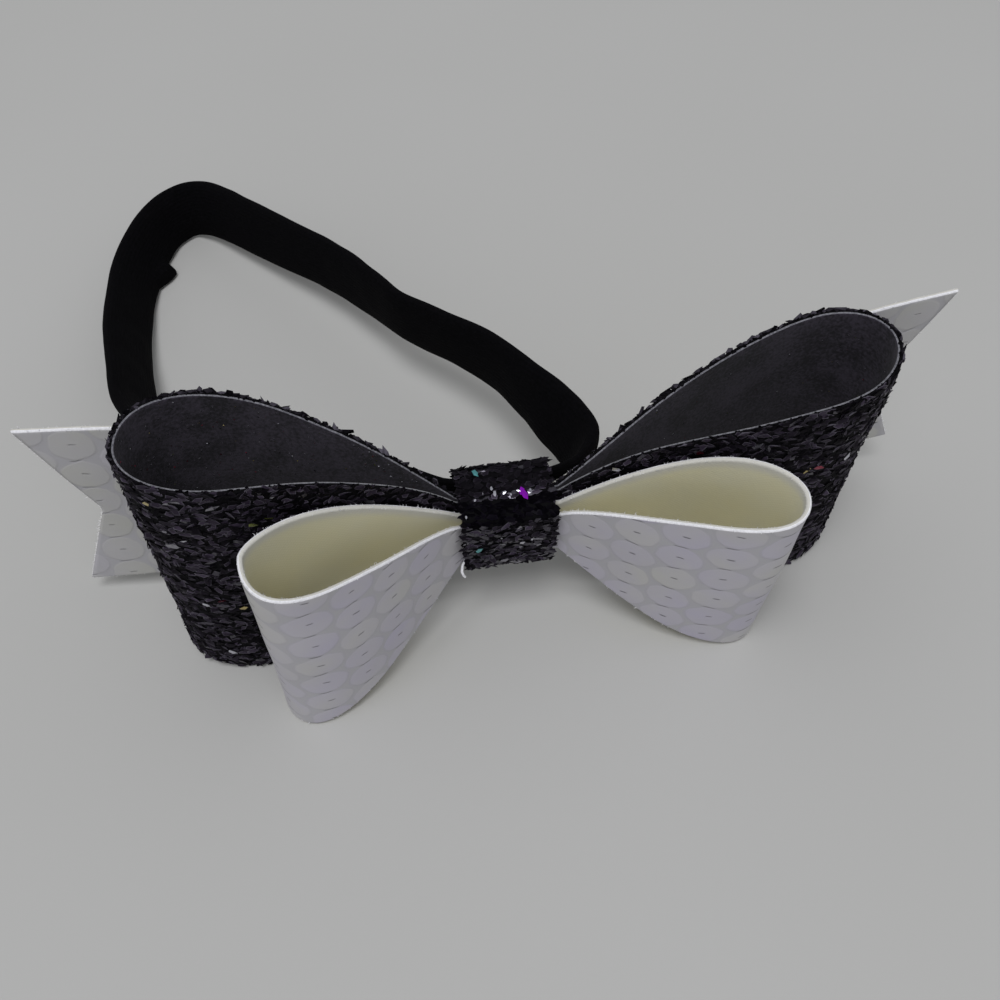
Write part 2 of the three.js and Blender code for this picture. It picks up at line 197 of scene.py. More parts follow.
def bow_turn():
    roll, lean = math.radians(BOW_ROLL_DEG), math.radians(BOW_LEAN_DEG)
    turn = Matrix.Rotation(roll, 3, "Y") @ Matrix.Rotation(lean, 3, "X")
    return np.array(turn)


BOW_TURN = bow_turn()


def on_bow(points):
    """Points of the bow's own upright frame, moved to where the leaning bow stands."""
    return points @ BOW_TURN.T + np.array([0, 0, BOW_CENTRE_HEIGHT]) + BOX_SHIFT


def ease(share):
    return share * share * (3 - 2 * share)


def unit(vectors):
    return vectors / np.linalg.norm(vectors, axis=-1, keepdims=True)


def run_along(line):
    """How far along a line of points each of them lies."""
    return np.concatenate([[0], np.cumsum(np.linalg.norm(np.diff(line, axis=0), axis=1))])


def read_off(at, run, rows):
    """The rows' values, straight between them, at the given places along their run."""
    return np.stack([np.interp(at, run, column) for column in rows.T], 1)


def loop_plan(strip, loop, angle):
    reach = strip["reach"] * loop["reach"]
    out = reach * (1 - np.cos(angle)) / 2
    share = out / reach
    bulge = np.abs(np.sin(angle)) * np.clip(np.sin(angle / 2), 0, 1) ** strip["belly"]
    pinched = (strip["wall"] + LAYER_GAP) / 2 * (1 - share)
    wall_y = np.where(
        angle <= math.pi,
        -(strip["reach"] * loop["front"] * bulge + pinched),
        strip["reach"] * loop["back"] * bulge + pinched,
    )
    free = np.maximum(out - STRAIGHT_LENGTH, 0)
    swung = free - strip["turn_start"] * (1 - np.exp(-free / strip["turn_start"]))
    return out, share, wall_y + math.tan(math.radians(loop["turn"])) * swung


def loop_stations(strip, loop, angle):
    """Centre line, half-width vector and outward normal of the strip, at each angle round a loop."""
    step = 0.05
    out, share, y = loop_plan(strip, loop, angle)
    out_before, _, y_before = loop_plan(strip, loop, np.maximum(angle - step, 0))
    out_after, _, y_after = loop_plan(strip, loop, np.minimum(angle + step, 2 * math.pi))
    run = np.hypot(out_after - out_before, y_after - y_before)
    normal_out, normal_y = (y_after - y_before) / run, -(out_after - out_before) / run
    reach = strip["reach"] * loop["reach"]
    spread = np.clip((out - GATHERED_LENGTH) / (reach - GATHERED_LENGTH), 0, 1)
    pinch_half, end_half = strip["pinch_width"] / 2, strip["width"] * loop["width"] / 2
    half = pinch_half + (end_half - pinch_half) * (1 - (1 - spread) ** strip["rise"])
    lean = math.radians(loop["lean"]) * ease(share)
    raised = math.tan(math.radians(loop["lift"])) * out * share
    down = -strip["sag"]
    centre = np.stack(
        [
            loop["side"] * (PINCH_HALF_LENGTH + out),
            strip["middle_y"] + y * np.cos(lean) - down * np.sin(lean),
            y * np.sin(lean) + down * np.cos(lean) + raised,
        ],
        1,
    )
    widthways = np.stack([0 * half, -half * np.sin(lean), half * np.cos(lean)], 1)
    normal = np.stack([loop["side"] * normal_out, normal_y * np.cos(lean), normal_y * np.sin(lean)], 1)
    return on_bow(centre), widthways @ BOW_TURN.T, normal @ BOW_TURN.T


def levels(count, edge_row):
    """Places across a strip from -1 to 1, with a narrow row at each cut edge to keep it crisp."""
    inner = np.linspace(-1 + edge_row, 1 - edge_row, count - 2)
    return np.concatenate([[-1], inner, [1]])


class Cloth:
    """A strip's middle surface: a grid of points and normals, with its own measure in mm along and across."""

    def __init__(self, points, normals, along, across, closed, wall, total=0.0):
        self.points, self.normals = points, unit(np.broadcast_to(normals, points.shape))
        self.along, self.across = np.broadcast_to(along, points.shape[:2]), across
        self.closed, self.wall, self.total = closed, wall, total

    def thin(self, depth, side):
        """Takes depth off the wall, from its outer side where side is 1 and its inner where it is -1."""
        self.points = self.points - self.normals * (side * depth / 2)
        self.wall = self.wall - depth

    def ruffle(self, height, size, keep, seed):
        """Lifts the surface a little in soft waves of about the given size in mm, where keep is not 0."""
        flat = self.points.reshape(-1, 3)
        offset = Vector((seed * 17.3, seed * 5.1, seed * 9.7))
        waves = np.array([noise.noise(Vector(p) / size + offset) for p in flat])
        waves = waves.reshape(self.points.shape[:2])
        self.points = self.points + self.normals * (waves * height * keep)[..., None]

    def at(self, i, j, lift):
        """Point, normal and the two directions of the surface at fractional rows i and columns j."""
        rows, columns = self.points.shape[:2]
        i0 = np.floor(i).astype(int)
        j0 = np.clip(np.floor(j).astype(int), 0, columns - 2)
        fi, fj = (i - i0)[:, None], (j - j0)[:, None]
        if self.closed:
            i0, i1 = i0 % rows, (i0 + 1) % rows
        else:
            i0 = np.clip(i0, 0, rows - 2)
            i1 = i0 + 1

        def between(grid):
            low = grid[i0, j0] * (1 - fj) + grid[i0, j0 + 1] * fj
            high = grid[i1, j0] * (1 - fj) + grid[i1, j0 + 1] * fj
            return low * (1 - fi) + high * fi

        normal = unit(between(self.normals))
        lengthways = unit(self.points[i1, j0] - self.points[i0, j0])
        lengthways = unit(lengthways - normal * np.sum(lengthways * normal, 1)[:, None])
        return between(self.points) + normal * lift, normal, lengthways, np.cross(normal, lengthways)


def loop_pair(strip, loops, per_loop, straight, columns):
    """Both loops of a strip, as one ring that passes through the wrap twice."""
    left, right = loops
    angles = np.linspace(0, 2 * math.pi, per_loop + 1)
    sides = [loop_stations(strip, right, angles), loop_stations(strip, left, angles[::-1])]
    rows = [[], [], []]
    for here, there in ((0, 1), (1, 0)):
        for kind in range(3):
            rows[kind].append(sides[here][kind])
            share = np.linspace(0, 1, straight + 2)[1:-1, None]
            rows[kind].append(sides[here][kind][-1] * (1 - share) + sides[there][kind][0] * share)
    centre, widthways, normal = (np.concatenate(part) for part in rows)
    level = levels(columns, 0.016)
    points = centre[:, None] + level[None, :, None] * widthways[:, None]
    along = run_along(centre)
    total = along[-1] + np.linalg.norm(centre[0] - centre[-1])
    across = level[None] * np.linalg.norm(widthways, axis=1)[:, None]
    return Cloth(points, normal[:, None], along[:, None], across, True, strip["wall"], total)


def tail_back(x):
    away = np.abs(x) / TAIL_REACH
    smooth = np.linspace(0, 1, 241)
    table = []
    for column in (1, 2):
        line = np.interp(smooth, TAIL_PATH[:, 0], TAIL_PATH[:, column])
        kernel = np.hanning(13)
        padded = np.pad(line, 6, mode="reflect", reflect_type="odd")
        table.append(np.convolve(padded, kernel / kernel.sum(), mode="valid"))
    left, right = (np.maximum(np.interp(away, smooth, line), 0) for line in table)
    return np.where(x < 0, left, right) * TAIL_REACH


def tail_surface(columns, rows):
    across = np.linspace(-TAIL_REACH, TAIL_REACH, rows)[:, None]
    level = levels(columns, 0.02)[None]
    away = np.abs(across)
    in_notch = np.clip((away - TAIL_REACH + TAIL_NOTCH_ZONE) / TAIL_NOTCH_ZONE, 0, 1)
    x = np.sign(across) * (away - in_notch * TAIL_NOTCH_DEPTH * (1 - np.abs(level)))
    free = np.clip((np.abs(x) - WRAP_WIDTH / 2 - LAYER_GAP) / TAIL_SPREAD_LENGTH, 0, 1)
    half = (TAIL_PINCH_WIDTH + (TAIL_WIDTH - TAIL_PINCH_WIDTH) * (1 - (1 - free) ** TAIL_SPREAD_RISE)) / 2
    half = half * (1 - TAIL_TUCK * np.exp(-(((np.abs(x) - WRAP_WIDTH / 2) / TAIL_TUCK_LENGTH) ** 2)))
    lean_deg = np.where(x < 0, TAIL_LEAN_DEG[-1], TAIL_LEAN_DEG[1])
    lean = np.radians(lean_deg) * ease(np.clip(np.abs(x) / TAIL_REACH, 0, 1))
    slope = (tail_back(x + 0.2) - tail_back(x - 0.2)) / 0.4
    z = level * half
    outer = (x / TAIL_REACH) ** 2
    slant = math.tan(math.radians(TAIL_RIGHT_SLANT_DEG))
    trimmed = np.where(x < 0, TAIL_LEFT_SHORTENING * outer, -slant * z * outer)
    rise = np.tan(np.radians(np.where(x < 0, TAIL_SLOPE_DEG[-1], TAIL_SLOPE_DEG[1])))
    points = np.stack(
        [
            x + trimmed,
            TAIL_MIDDLE_Y + tail_back(x) - z * np.sin(lean),
            z * np.cos(lean) + rise * x * np.sqrt(free),
        ],
        -1,
    )
    normals = np.stack([slope, -np.ones_like(slope), 0 * slope], -1)
    return Cloth(
        on_bow(points.reshape(-1, 3)).reshape(points.shape),
        (normals.reshape(-1, 3) @ BOW_TURN.T).reshape(points.shape),
        x + 0 * z,
        z,
        False,
        TAIL_WALL,
    )


def wrap_surface(rows, columns):
    """The wrap's middle surface, round its outline as seen from the right end."""
    outline = []
    for y, z_side, radius, start in (
        (WRAP_FRONT_Y, -1, WRAP_FRONT_CORNER, 180),
        (WRAP_BACK_Y, -1, WRAP_BACK_CORNER, 270),
        (WRAP_BACK_Y, 1, WRAP_BACK_CORNER, 0),
        (WRAP_FRONT_Y, 1, WRAP_FRONT_CORNER, 90),
    ):
        inward = 1 if y == WRAP_FRONT_Y else -1
        for i in range(25):
            angle = math.radians(start + 90 * i / 24)
            c, s = math.cos(angle), math.sin(angle)
            outline.append(
                (
                    y + inward * radius + (radius + WRAP_WALL / 2) * c,
                    z_side * (WRAP_INNER_HALF_HEIGHT - radius) + (radius + WRAP_WALL / 2) * s,
                    c,
                    s,
                )
            )
    outline = np.array(outline + outline[:1])
    run = run_along(outline[:, :2])
    at = np.linspace(0, run[-1], rows, endpoint=False)
    y, z, normal_y, normal_z = read_off(at, run, outline).T
    low = np.clip(-z / WRAP_INNER_HALF_HEIGHT, 0, 1)
    forward = np.clip(y / WRAP_FRONT_Y, 0, 1)
    half = WRAP_WIDTH / 2 * (1 - WRAP_LOWER_FRONT_NARROWING * low * forward)
    front = np.clip((-y - 2.5) / 1.5, 0, 1)
    y = y - front * (WRAP_BULGE * np.exp(-(((z - WRAP_BULGE_Z) / WRAP_BULGE_SPREAD) ** 2)))
    level = levels(columns, 0.03)
    x = WRAP_MIDDLE_X + level[None] * half[:, None]
    points = np.stack([x, y[:, None] + 0 * x, z[:, None] + 0 * x], -1)
    normals = np.stack([0 * y, normal_y, normal_z], 1) @ BOW_TURN.T
    placed = on_bow(points.reshape(-1, 3)).reshape(points.shape)
    return Cloth(placed, normals[:, None], at[:, None], x - WRAP_MIDDLE_X, True, WRAP_WALL, run[-1])


# Making meshes, of points in mm
FLAKE_LOWEST = 0.02
# The last row or column of a grid and the one before it, at both of its edges
BOTH_EDGES = ((-1, -2), (0, 1))


def new_mesh(name, points_mm, faces, materials, slots=None, smooth=True):
    mesh = bpy.data.meshes.new(name)
    mesh.from_pydata((np.asarray(points_mm) * MM).tolist(), [], faces)
    for material in materials:
        mesh.materials.append(material)
    if slots is not None:
        mesh.polygons.foreach_set("material_index", np.asarray(slots, dtype=np.int32))
    mesh.polygons.foreach_set("use_smooth", [smooth] * len(mesh.polygons))
    mesh.update()
    piece = bpy.data.objects.new(name, mesh)
    bpy.context.scene.collection.objects.link(piece)
    return piece


def sheet_piece(name, cloth, materials, edge_slots, edge_bulge=0.05, edge_fray=0.0, shown=None):
    """A closed thin sheet. Slot 0 is its outer face, 1 its inner, edge_slots its edge from outer to inner."""
    rows, columns = cloth.points.shape[:2]
    edge_rows = len(edge_slots) - 1
    half = cloth.wall / 2
    sides = []
    for last, before in BOTH_EDGES:
        beyond = unit(cloth.points[:, last] - cloth.points[:, before])
        share = (np.arange(edge_rows) + 1) / (edge_rows + 1)
        lift = half * (1 - 2 * share)
        swell = edge_bulge * np.sin(math.pi * share) ** 0.5
        fray = edge_fray * rng.normal(size=(rows, edge_rows))
        side = (
            cloth.points[:, last, None]
            + cloth.normals[:, last, None] * lift[None, :, None]
            + beyond[:, None] * (swell[None] + fray)[..., None]
        )
        sides.append(side)
    outer = cloth.points + cloth.normals * half
    inner = cloth.points - cloth.normals * half
    section = np.concatenate([outer, sides[0], inner[:, ::-1], sides[1][:, ::-1]], axis=1)
    count = section.shape[1]
    slots_round = [0] * (columns - 1) + list(edge_slots) + [1] * (columns - 1) + list(edge_slots)[::-1]
    shown_uv = shown if shown is not None else np.stack([cloth.along, cloth.across], -1)
    uv_round = np.concatenate(
        [
            shown_uv,
            np.repeat(shown_uv[:, -1:], edge_rows, 1),
            shown_uv[:, ::-1],
            np.repeat(shown_uv[:, :1], edge_rows, 1),
        ],
        axis=1,
    )
    faces, slots, uvs = [], [], []
    turn_uv = np.array([cloth.total, 0.0])
    for i in range(rows if cloth.closed else rows - 1):
        j = (i + 1) % rows
        ahead = turn_uv if j == 0 else 0.0
        for s in range(count):
            t = (s + 1) % count
            faces.append((i * count + s, i * count + t, j * count + t, j * count + s))
            slots.append(slots_round[s])
            uvs.append((uv_round[i, s], uv_round[i, t], uv_round[j, t] + ahead, uv_round[j, s] + ahead))
    if not cloth.closed:
        for i, flip in ((0, False), (rows - 1, True)):
            base = i * count
            for c in range(columns - 1):
                a, b = base + c, base + c + 1
                across = base + edge_rows + 2 * columns - 1 - c
                loop = (a, across, across - 1, b)
                faces.append(loop[::-1] if flip else loop)
                slots.append(edge_slots[len(edge_slots) // 2])
                uvs.append([uv_round[i, c]] * 4)
            top = tuple(base + columns - 1 + k for k in range(edge_rows + 2))
            bottom = (base,) + tuple(base + count - 1 - k for k in range(edge_rows + 1))
            for loop, c, turned in ((top, columns - 1, flip), (bottom, 0, not flip)):
                faces.append(loop[::-1] if turned else loop)
                slots.append(edge_slots[len(edge_slots) // 2])
                uvs.append([uv_round[i, c]] * len(loop))
    piece = new_mesh(name, section.reshape(-1, 3), faces, materials, slots)
    layer = piece.data.uv_layers.new(name="cloth")
    layer.data.foreach_set("uv", np.concatenate([np.asarray(u) for u in uvs]).astype(np.float32).ravel())
    recalculate(piece)
    mark_edges(piece, cloth, edge_rows)
    return piece


def mark_edges(piece, cloth, edge_rows):
    """Keeps each point's distance in mm to the nearest cut edge, for the fuzz and painted light there."""
    reach = np.abs(cloth.across)
    face = reach.max(axis=1, keepdims=True) - reach
    edge = np.zeros((face.shape[0], edge_rows))
    section = np.concatenate([face, edge, face[:, ::-1], edge], axis=1)
    layer = piece.data.attributes.new("from_edge", "FLOAT", "POINT")
    layer.data.foreach_set("value", section.astype(np.float32).ravel())


def recalculate(piece):
    """Turns a closed mesh's faces outwards."""
    mesh = piece.data
    mesh.calc_loop_triangles()
    place = np.empty(len(mesh.vertices) * 3)
    mesh.vertices.foreach_get("co", place)
    place = place.reshape(-1, 3)
    corner = np.empty(len(mesh.loop_triangles) * 3, dtype=np.int32)
    mesh.loop_triangles.foreach_get("vertices", corner)
    a, b, c = (place[corner.reshape(-1, 3)[:, k]] for k in range(3))
    if np.sum(a * np.cross(b, c)) < 0:
        mesh.flip_normals()


def flakes(
    cloth, i, j, lift, size, stretch, tilt, loose=1.0, swing=0.5, sides=5, bend=0.12, depth=0.3, side=1.0
):
    """Small bent plates lying on a cloth, each a closed fan above and below.

    Lift, size and stretch are one value, one for each flake, or a pair to draw between.
    Returns the points in mm, the faces, and which flake each face belongs to.
    """
    count = len(i)
    lift, size, stretch = (
        rng.uniform(*value, count) if isinstance(value, tuple) else value for value in (lift, size, stretch)
    )
    middle, normal, lengthways, crossways = cloth.at(i, j, 0.0)
    normal = normal * side
    middle = middle + normal * (cloth.wall / 2 + np.broadcast_to(lift * loose, count))[:, None]
    lean_along = rng.normal(size=count) * tilt
    lean_across = rng.normal(size=count) * tilt
    normal = unit(normal + lengthways * lean_along[:, None] + crossways * lean_across[:, None])
    turn = rng.normal(size=count) * swing
    one = lengthways * np.cos(turn)[:, None] + crossways * np.sin(turn)[:, None]
    one = unit(one - normal * np.sum(one * normal, 1)[:, None])
    other = np.cross(normal, one)
    long, short = size * stretch, size / stretch
    corners = []
    for k in range(sides):
        angle = 2 * math.pi * k / sides + rng.uniform(-0.25, 0.25, count)
        radius = rng.uniform(0.78, 1.12, count)
        corners.append(
            middle
            + one * (np.cos(angle) * radius * long)[:, None]
            + other * (np.sin(angle) * radius * short)[:, None]
            + normal * rng.uniform(-bend, bend, count)[:, None]
        )
    top = middle + normal * rng.uniform(0.0, bend, count)[:, None]
    low = middle - normal * depth
    points = np.stack(corners + [top, low], 1)
    points[..., 2] = np.maximum(points[..., 2], FLAKE_LOWEST)
    width = sides + 2
    base = np.arange(count)[:, None] * width
    faces, owner = [], []
    for k in range(sides):
        n = (k + 1) % sides
        faces.append(np.concatenate([base + k, base + n, base + sides], 1))
        faces.append(np.concatenate([base + n, base + k, base + sides + 1], 1))
        owner += [np.arange(count)] * 2
    return points, np.concatenate(faces), np.concatenate(owner)


def flake_piece(name, parts):
    """Joins flakes into one piece. A part is its flakes, with one kind and shade for all or for each."""
    points, faces, slots, shade_all, rims = [], [], [], [], []
    start = 0
    for (part_points, part_faces, owner), kind, shade in parts:
        count, width = part_points.shape[:2]
        points.append(part_points.reshape(-1, 3))
        rims.append(np.tile([1.0] * (width - 2) + [0.0, 1.0], count))
        faces.append(part_faces + start)
        slots.append(np.broadcast_to(kind, count)[owner])
        shade_all.append(np.broadcast_to(shade, count)[owner])
        start += count * width
    used, slots = np.unique(np.concatenate(slots), return_inverse=True)
    materials = [FLAKE_KINDS[KIND_NAMES[kind]] for kind in used]
    points, faces = np.concatenate(points), np.concatenate(faces).tolist()
    piece = new_mesh(name, points, faces, materials, slots, smooth=False)
    for layer, domain, values in (("flake_shade", "FACE", shade_all), ("flake_rim", "POINT", rims)):
        made = piece.data.attributes.new(layer, "FLOAT", domain)
        made.data.foreach_set("value", np.concatenate(values).astype(np.float32))
    return piece


def fibres(places, outward, sideways, length, thick, name, material):
    """Short bent fibres, each a three-sided tapering prism."""
    count = len(places)
    bend = unit(outward + sideways * rng.normal(size=(count, 1)) * 0.8 + rng.normal(size=(count, 3)) * 0.35)
    first = unit(outward + rng.normal(size=(count, 3)) * 0.45)
    middle = places + first * (length * 0.5)[:, None]
    end = middle + bend * (length * 0.5)[:, None]
    side_a = unit(np.cross(first, rng.normal(size=(count, 3))))
    side_b = np.cross(first, side_a)
    rings = []
    for centre, radius in ((places - first * 0.15, thick), (middle, thick * 0.8)):
        for k in range(3):
            angle = 2 * math.pi * k / 3
            rings.append(centre + (side_a * math.cos(angle) + side_b * math.sin(angle)) * radius)
    points = np.stack(rings + [end], 1)
    faces = []
    for f in range(count):
        b = f * 7
        faces.append((b + 2, b + 1, b))
        for k in range(3):
            n = (k + 1) % 3
            faces.append((b + k, b + n, b + 3 + n, b + 3 + k))
            faces.append((b + 3 + k, b + 3 + n, b + 6))
    return new_mesh(name, points.reshape(-1, 3), faces, [material])


# Materials
DISC_GROUND, DISC_OUTLINE, DISC_MARK_SHADE = "#b2b1b5", "#97959c", "#454349"
CREAM_WARM, CREAM_PALE, CREAM_KNIT_SHADE, CREAM_RIM_FUZZ_AND_LIGHT = "#e8e3bf", "#e5e2c8", "#a89f70", "#cfcec8"
RESIN_DEEP, RESIN_PALE = "#040405", "#0c0b0e"
FELT_DEEP, FELT_PALE = "#17151b", "#3f3a45"
NYLON_DEEP, NYLON_PALE = "#040405", "#0a090c"
# The knit of the cream cloth and the ribs of the elastic, in mm
KNIT_STEP = 0.6
RIB_STEP = 0.7
TABLE_DEEP, TABLE_PALE = "#b8b8b4", "#bebebb"


def colour(code):
    """An sRGB hex value as the linear colour that shaders use."""
    channels = [int(code[k : k + 2], 16) / 255 for k in (1, 3, 5)]
    return tuple(c / 12.92 if c <= 0.04045 else ((c + 0.055) / 1.055) ** 2.4 for c in channels) + (1.0,)


def fill(tree, socket, value):
    """Gives a socket its value or hex colour, or links an output or a node's first output to it."""
    if isinstance(value, str):
        value = colour(value)
    if isinstance(value, bpy.types.Node):
        value = value.outputs[0]
    if isinstance(value, bpy.types.NodeSocket):
        tree.links.new(value, socket)
    else:
        socket.default_value = value


def add(tree, kind, inputs, **settings):
    """Adds a node. inputs are its sockets by name or number, each a value, an output or a node to link."""
    node = tree.nodes.new("ShaderNode" + kind)
    for name, value in settings.items():
        setattr(node, name, value)
    for socket, value in inputs.items():
        fill(tree, node.inputs[socket], value)
    return node


def surfaced(made, **surface):
    """Fills the sockets of a material's shader, named with _ for each space."""
    shader = made.node_tree.nodes["Principled BSDF"]
    for socket, value in surface.items():
        fill(made.node_tree, shader.inputs[socket.replace("_", " ")], value)
    return made


def material(name, **surface):
    made = bpy.data.materials.new(name)
    made.use_nodes = True
    return surfaced(made, **surface), made.node_tree


def glitter_film(name, deep, pale, edge, specular):
    # Chunky polyester film glitter under black lacquer: flat scales, each of its own shade, that are
    # matt in the middle; the brighter ones are paler at the edge, a painted highlight.
    made, tree = material(name, Specular_IOR_Level=specular)
    shade = add(tree, "Attribute", {}, attribute_name="flake_shade").outputs["Fac"]
    rim = add(tree, "Attribute", {}, attribute_name="flake_rim").outputs["Fac"]
    bright = add(tree, "Math", {0: shade, 1: 1.6}, operation="POWER")
    middle = add(tree, "Mix", {0: bright, 6: deep, 7: pale}, data_type="RGBA").outputs[2]
    # Paler rims on the brighter flakes: a painted highlight.
    rim_highlight = add(tree, "MapRange", {0: rim, 1: 0.75, 2: 0.97, 3: 0.0, 4: 0.8}, interpolation_type="SMOOTHSTEP")
    rim_highlight = add(tree, "Math", {0: rim_highlight, 1: bright}, operation="MULTIPLY")
    tint = add(tree, "Mix", {0: rim_highlight, 6: middle, 7: edge}, data_type="RGBA").outputs[2]
    gloss = add(tree, "MapRange", {0: shade, 3: 0.75, 4: 0.35})
    return surfaced(made, Base_Color=tint, Roughness=gloss)


def coloured_flake(name, tint, deep):
    # A flake whose mirror film shows through, in grey or in a colour, with its shine broken by 0.25 mm grain.
    made, tree = material(name, Metallic=0.9, Roughness=0.3)
    where = add(tree, "TexCoord", {}).outputs["Object"]
    grain = add(tree, "TexNoise", {"Vector": where, "Scale": 4000.0, "Detail": 1.0})
    mixed = add(tree, "Mix", {0: grain, 6: deep, 7: tint}, data_type="RGBA").outputs[2]
    return surfaced(made, Base_Color=mixed)


def resin_ground():
    # The dark resin that the glitter is bedded in: dull, with fine lumps of about 0.5 mm.
    made, tree = material("black_resin_ground", Roughness=0.8, Specular_IOR_Level=0.08)
    where = add(tree, "TexCoord", {}).outputs["Object"]
    lumps = add(tree, "TexNoise", {"Vector": where, "Scale": 2000.0, "Detail": 3.0})
    tint = add(tree, "Mix", {0: lumps, 6: RESIN_DEEP, 7: RESIN_PALE}, data_type="RGBA").outputs[2]
    bump = add(tree, "Bump", {"Strength": 0.6, "Distance": 0.0002, "Height": lumps})
    return surfaced(made, Base_Color=tint, Normal=bump)


def felt_backing():
    # The glitter leather's back: brushed charcoal polyester, matt, with soft mottling of about 5 mm and
    # a short nap of about 0.5 mm.
    made, tree = material(
        "charcoal_felt_backing", Roughness=0.95, Specular_IOR_Level=0.2, Sheen_Weight=0.1
    )
    where = add(tree, "TexCoord", {}).outputs["Object"]
    mottle = add(tree, "TexNoise", {"Vector": where, "Scale": 190.0, "Detail": 5.0})
    nap = add(tree, "TexNoise", {"Vector": where, "Scale": 2200.0, "Detail": 2.0})
    both = add(tree, "Mix", {0: 0.5, 2: mottle, 3: nap}, data_type="FLOAT")
    depth = add(tree, "MapRange", {0: both, 1: 0.36, 2: 0.64}, interpolation_type="SMOOTHSTEP")
    tint = add(tree, "Mix", {0: depth, 6: FELT_DEEP, 7: FELT_PALE}, data_type="RGBA").outputs[2]
    bump = add(tree, "Bump", {"Strength": 0.5, "Distance": 0.00012, "Height": nap})
    return surfaced(made, Base_Color=tint, Normal=bump)


def cut_edge(name, low, high):
    # A cut edge shows the fibres of the backing: dull, paler than the face, with threads of about 0.3 mm.
    made, tree = material(name, Roughness=0.9, Sheen_Weight=0.2)
    where = add(tree, "TexCoord", {}).outputs["Object"]
    thread = add(tree, "TexNoise", {"Vector": where, "Scale": 3000.0, "Detail": 2.0})
    depth = add(tree, "MapRange", {0: thread, 1: 0.3, 2: 0.7}, interpolation_type="SMOOTHSTEP")
    tint = add(tree, "Mix", {0: depth, 6: low, 7: high}, data_type="RGBA").outputs[2]
    bump = add(tree, "Bump", {"Strength": 0.7, "Distance": 0.00015, "Height": thread})
    return surfaced(made, Base_Color=tint, Normal=bump)


# The pearl face is embossed with round discs, in columns across the strip.
DISC_COLUMN_STEP = 6.35
DISC_ROW_STEP = 6.15
DISC_RADIUS = 3.0
DISC_SQUAT = 0.9
DISC_LINE = 0.14
SLIT_HALF_LENGTH = 0.6
MEET_HALF_LENGTH = 1.1


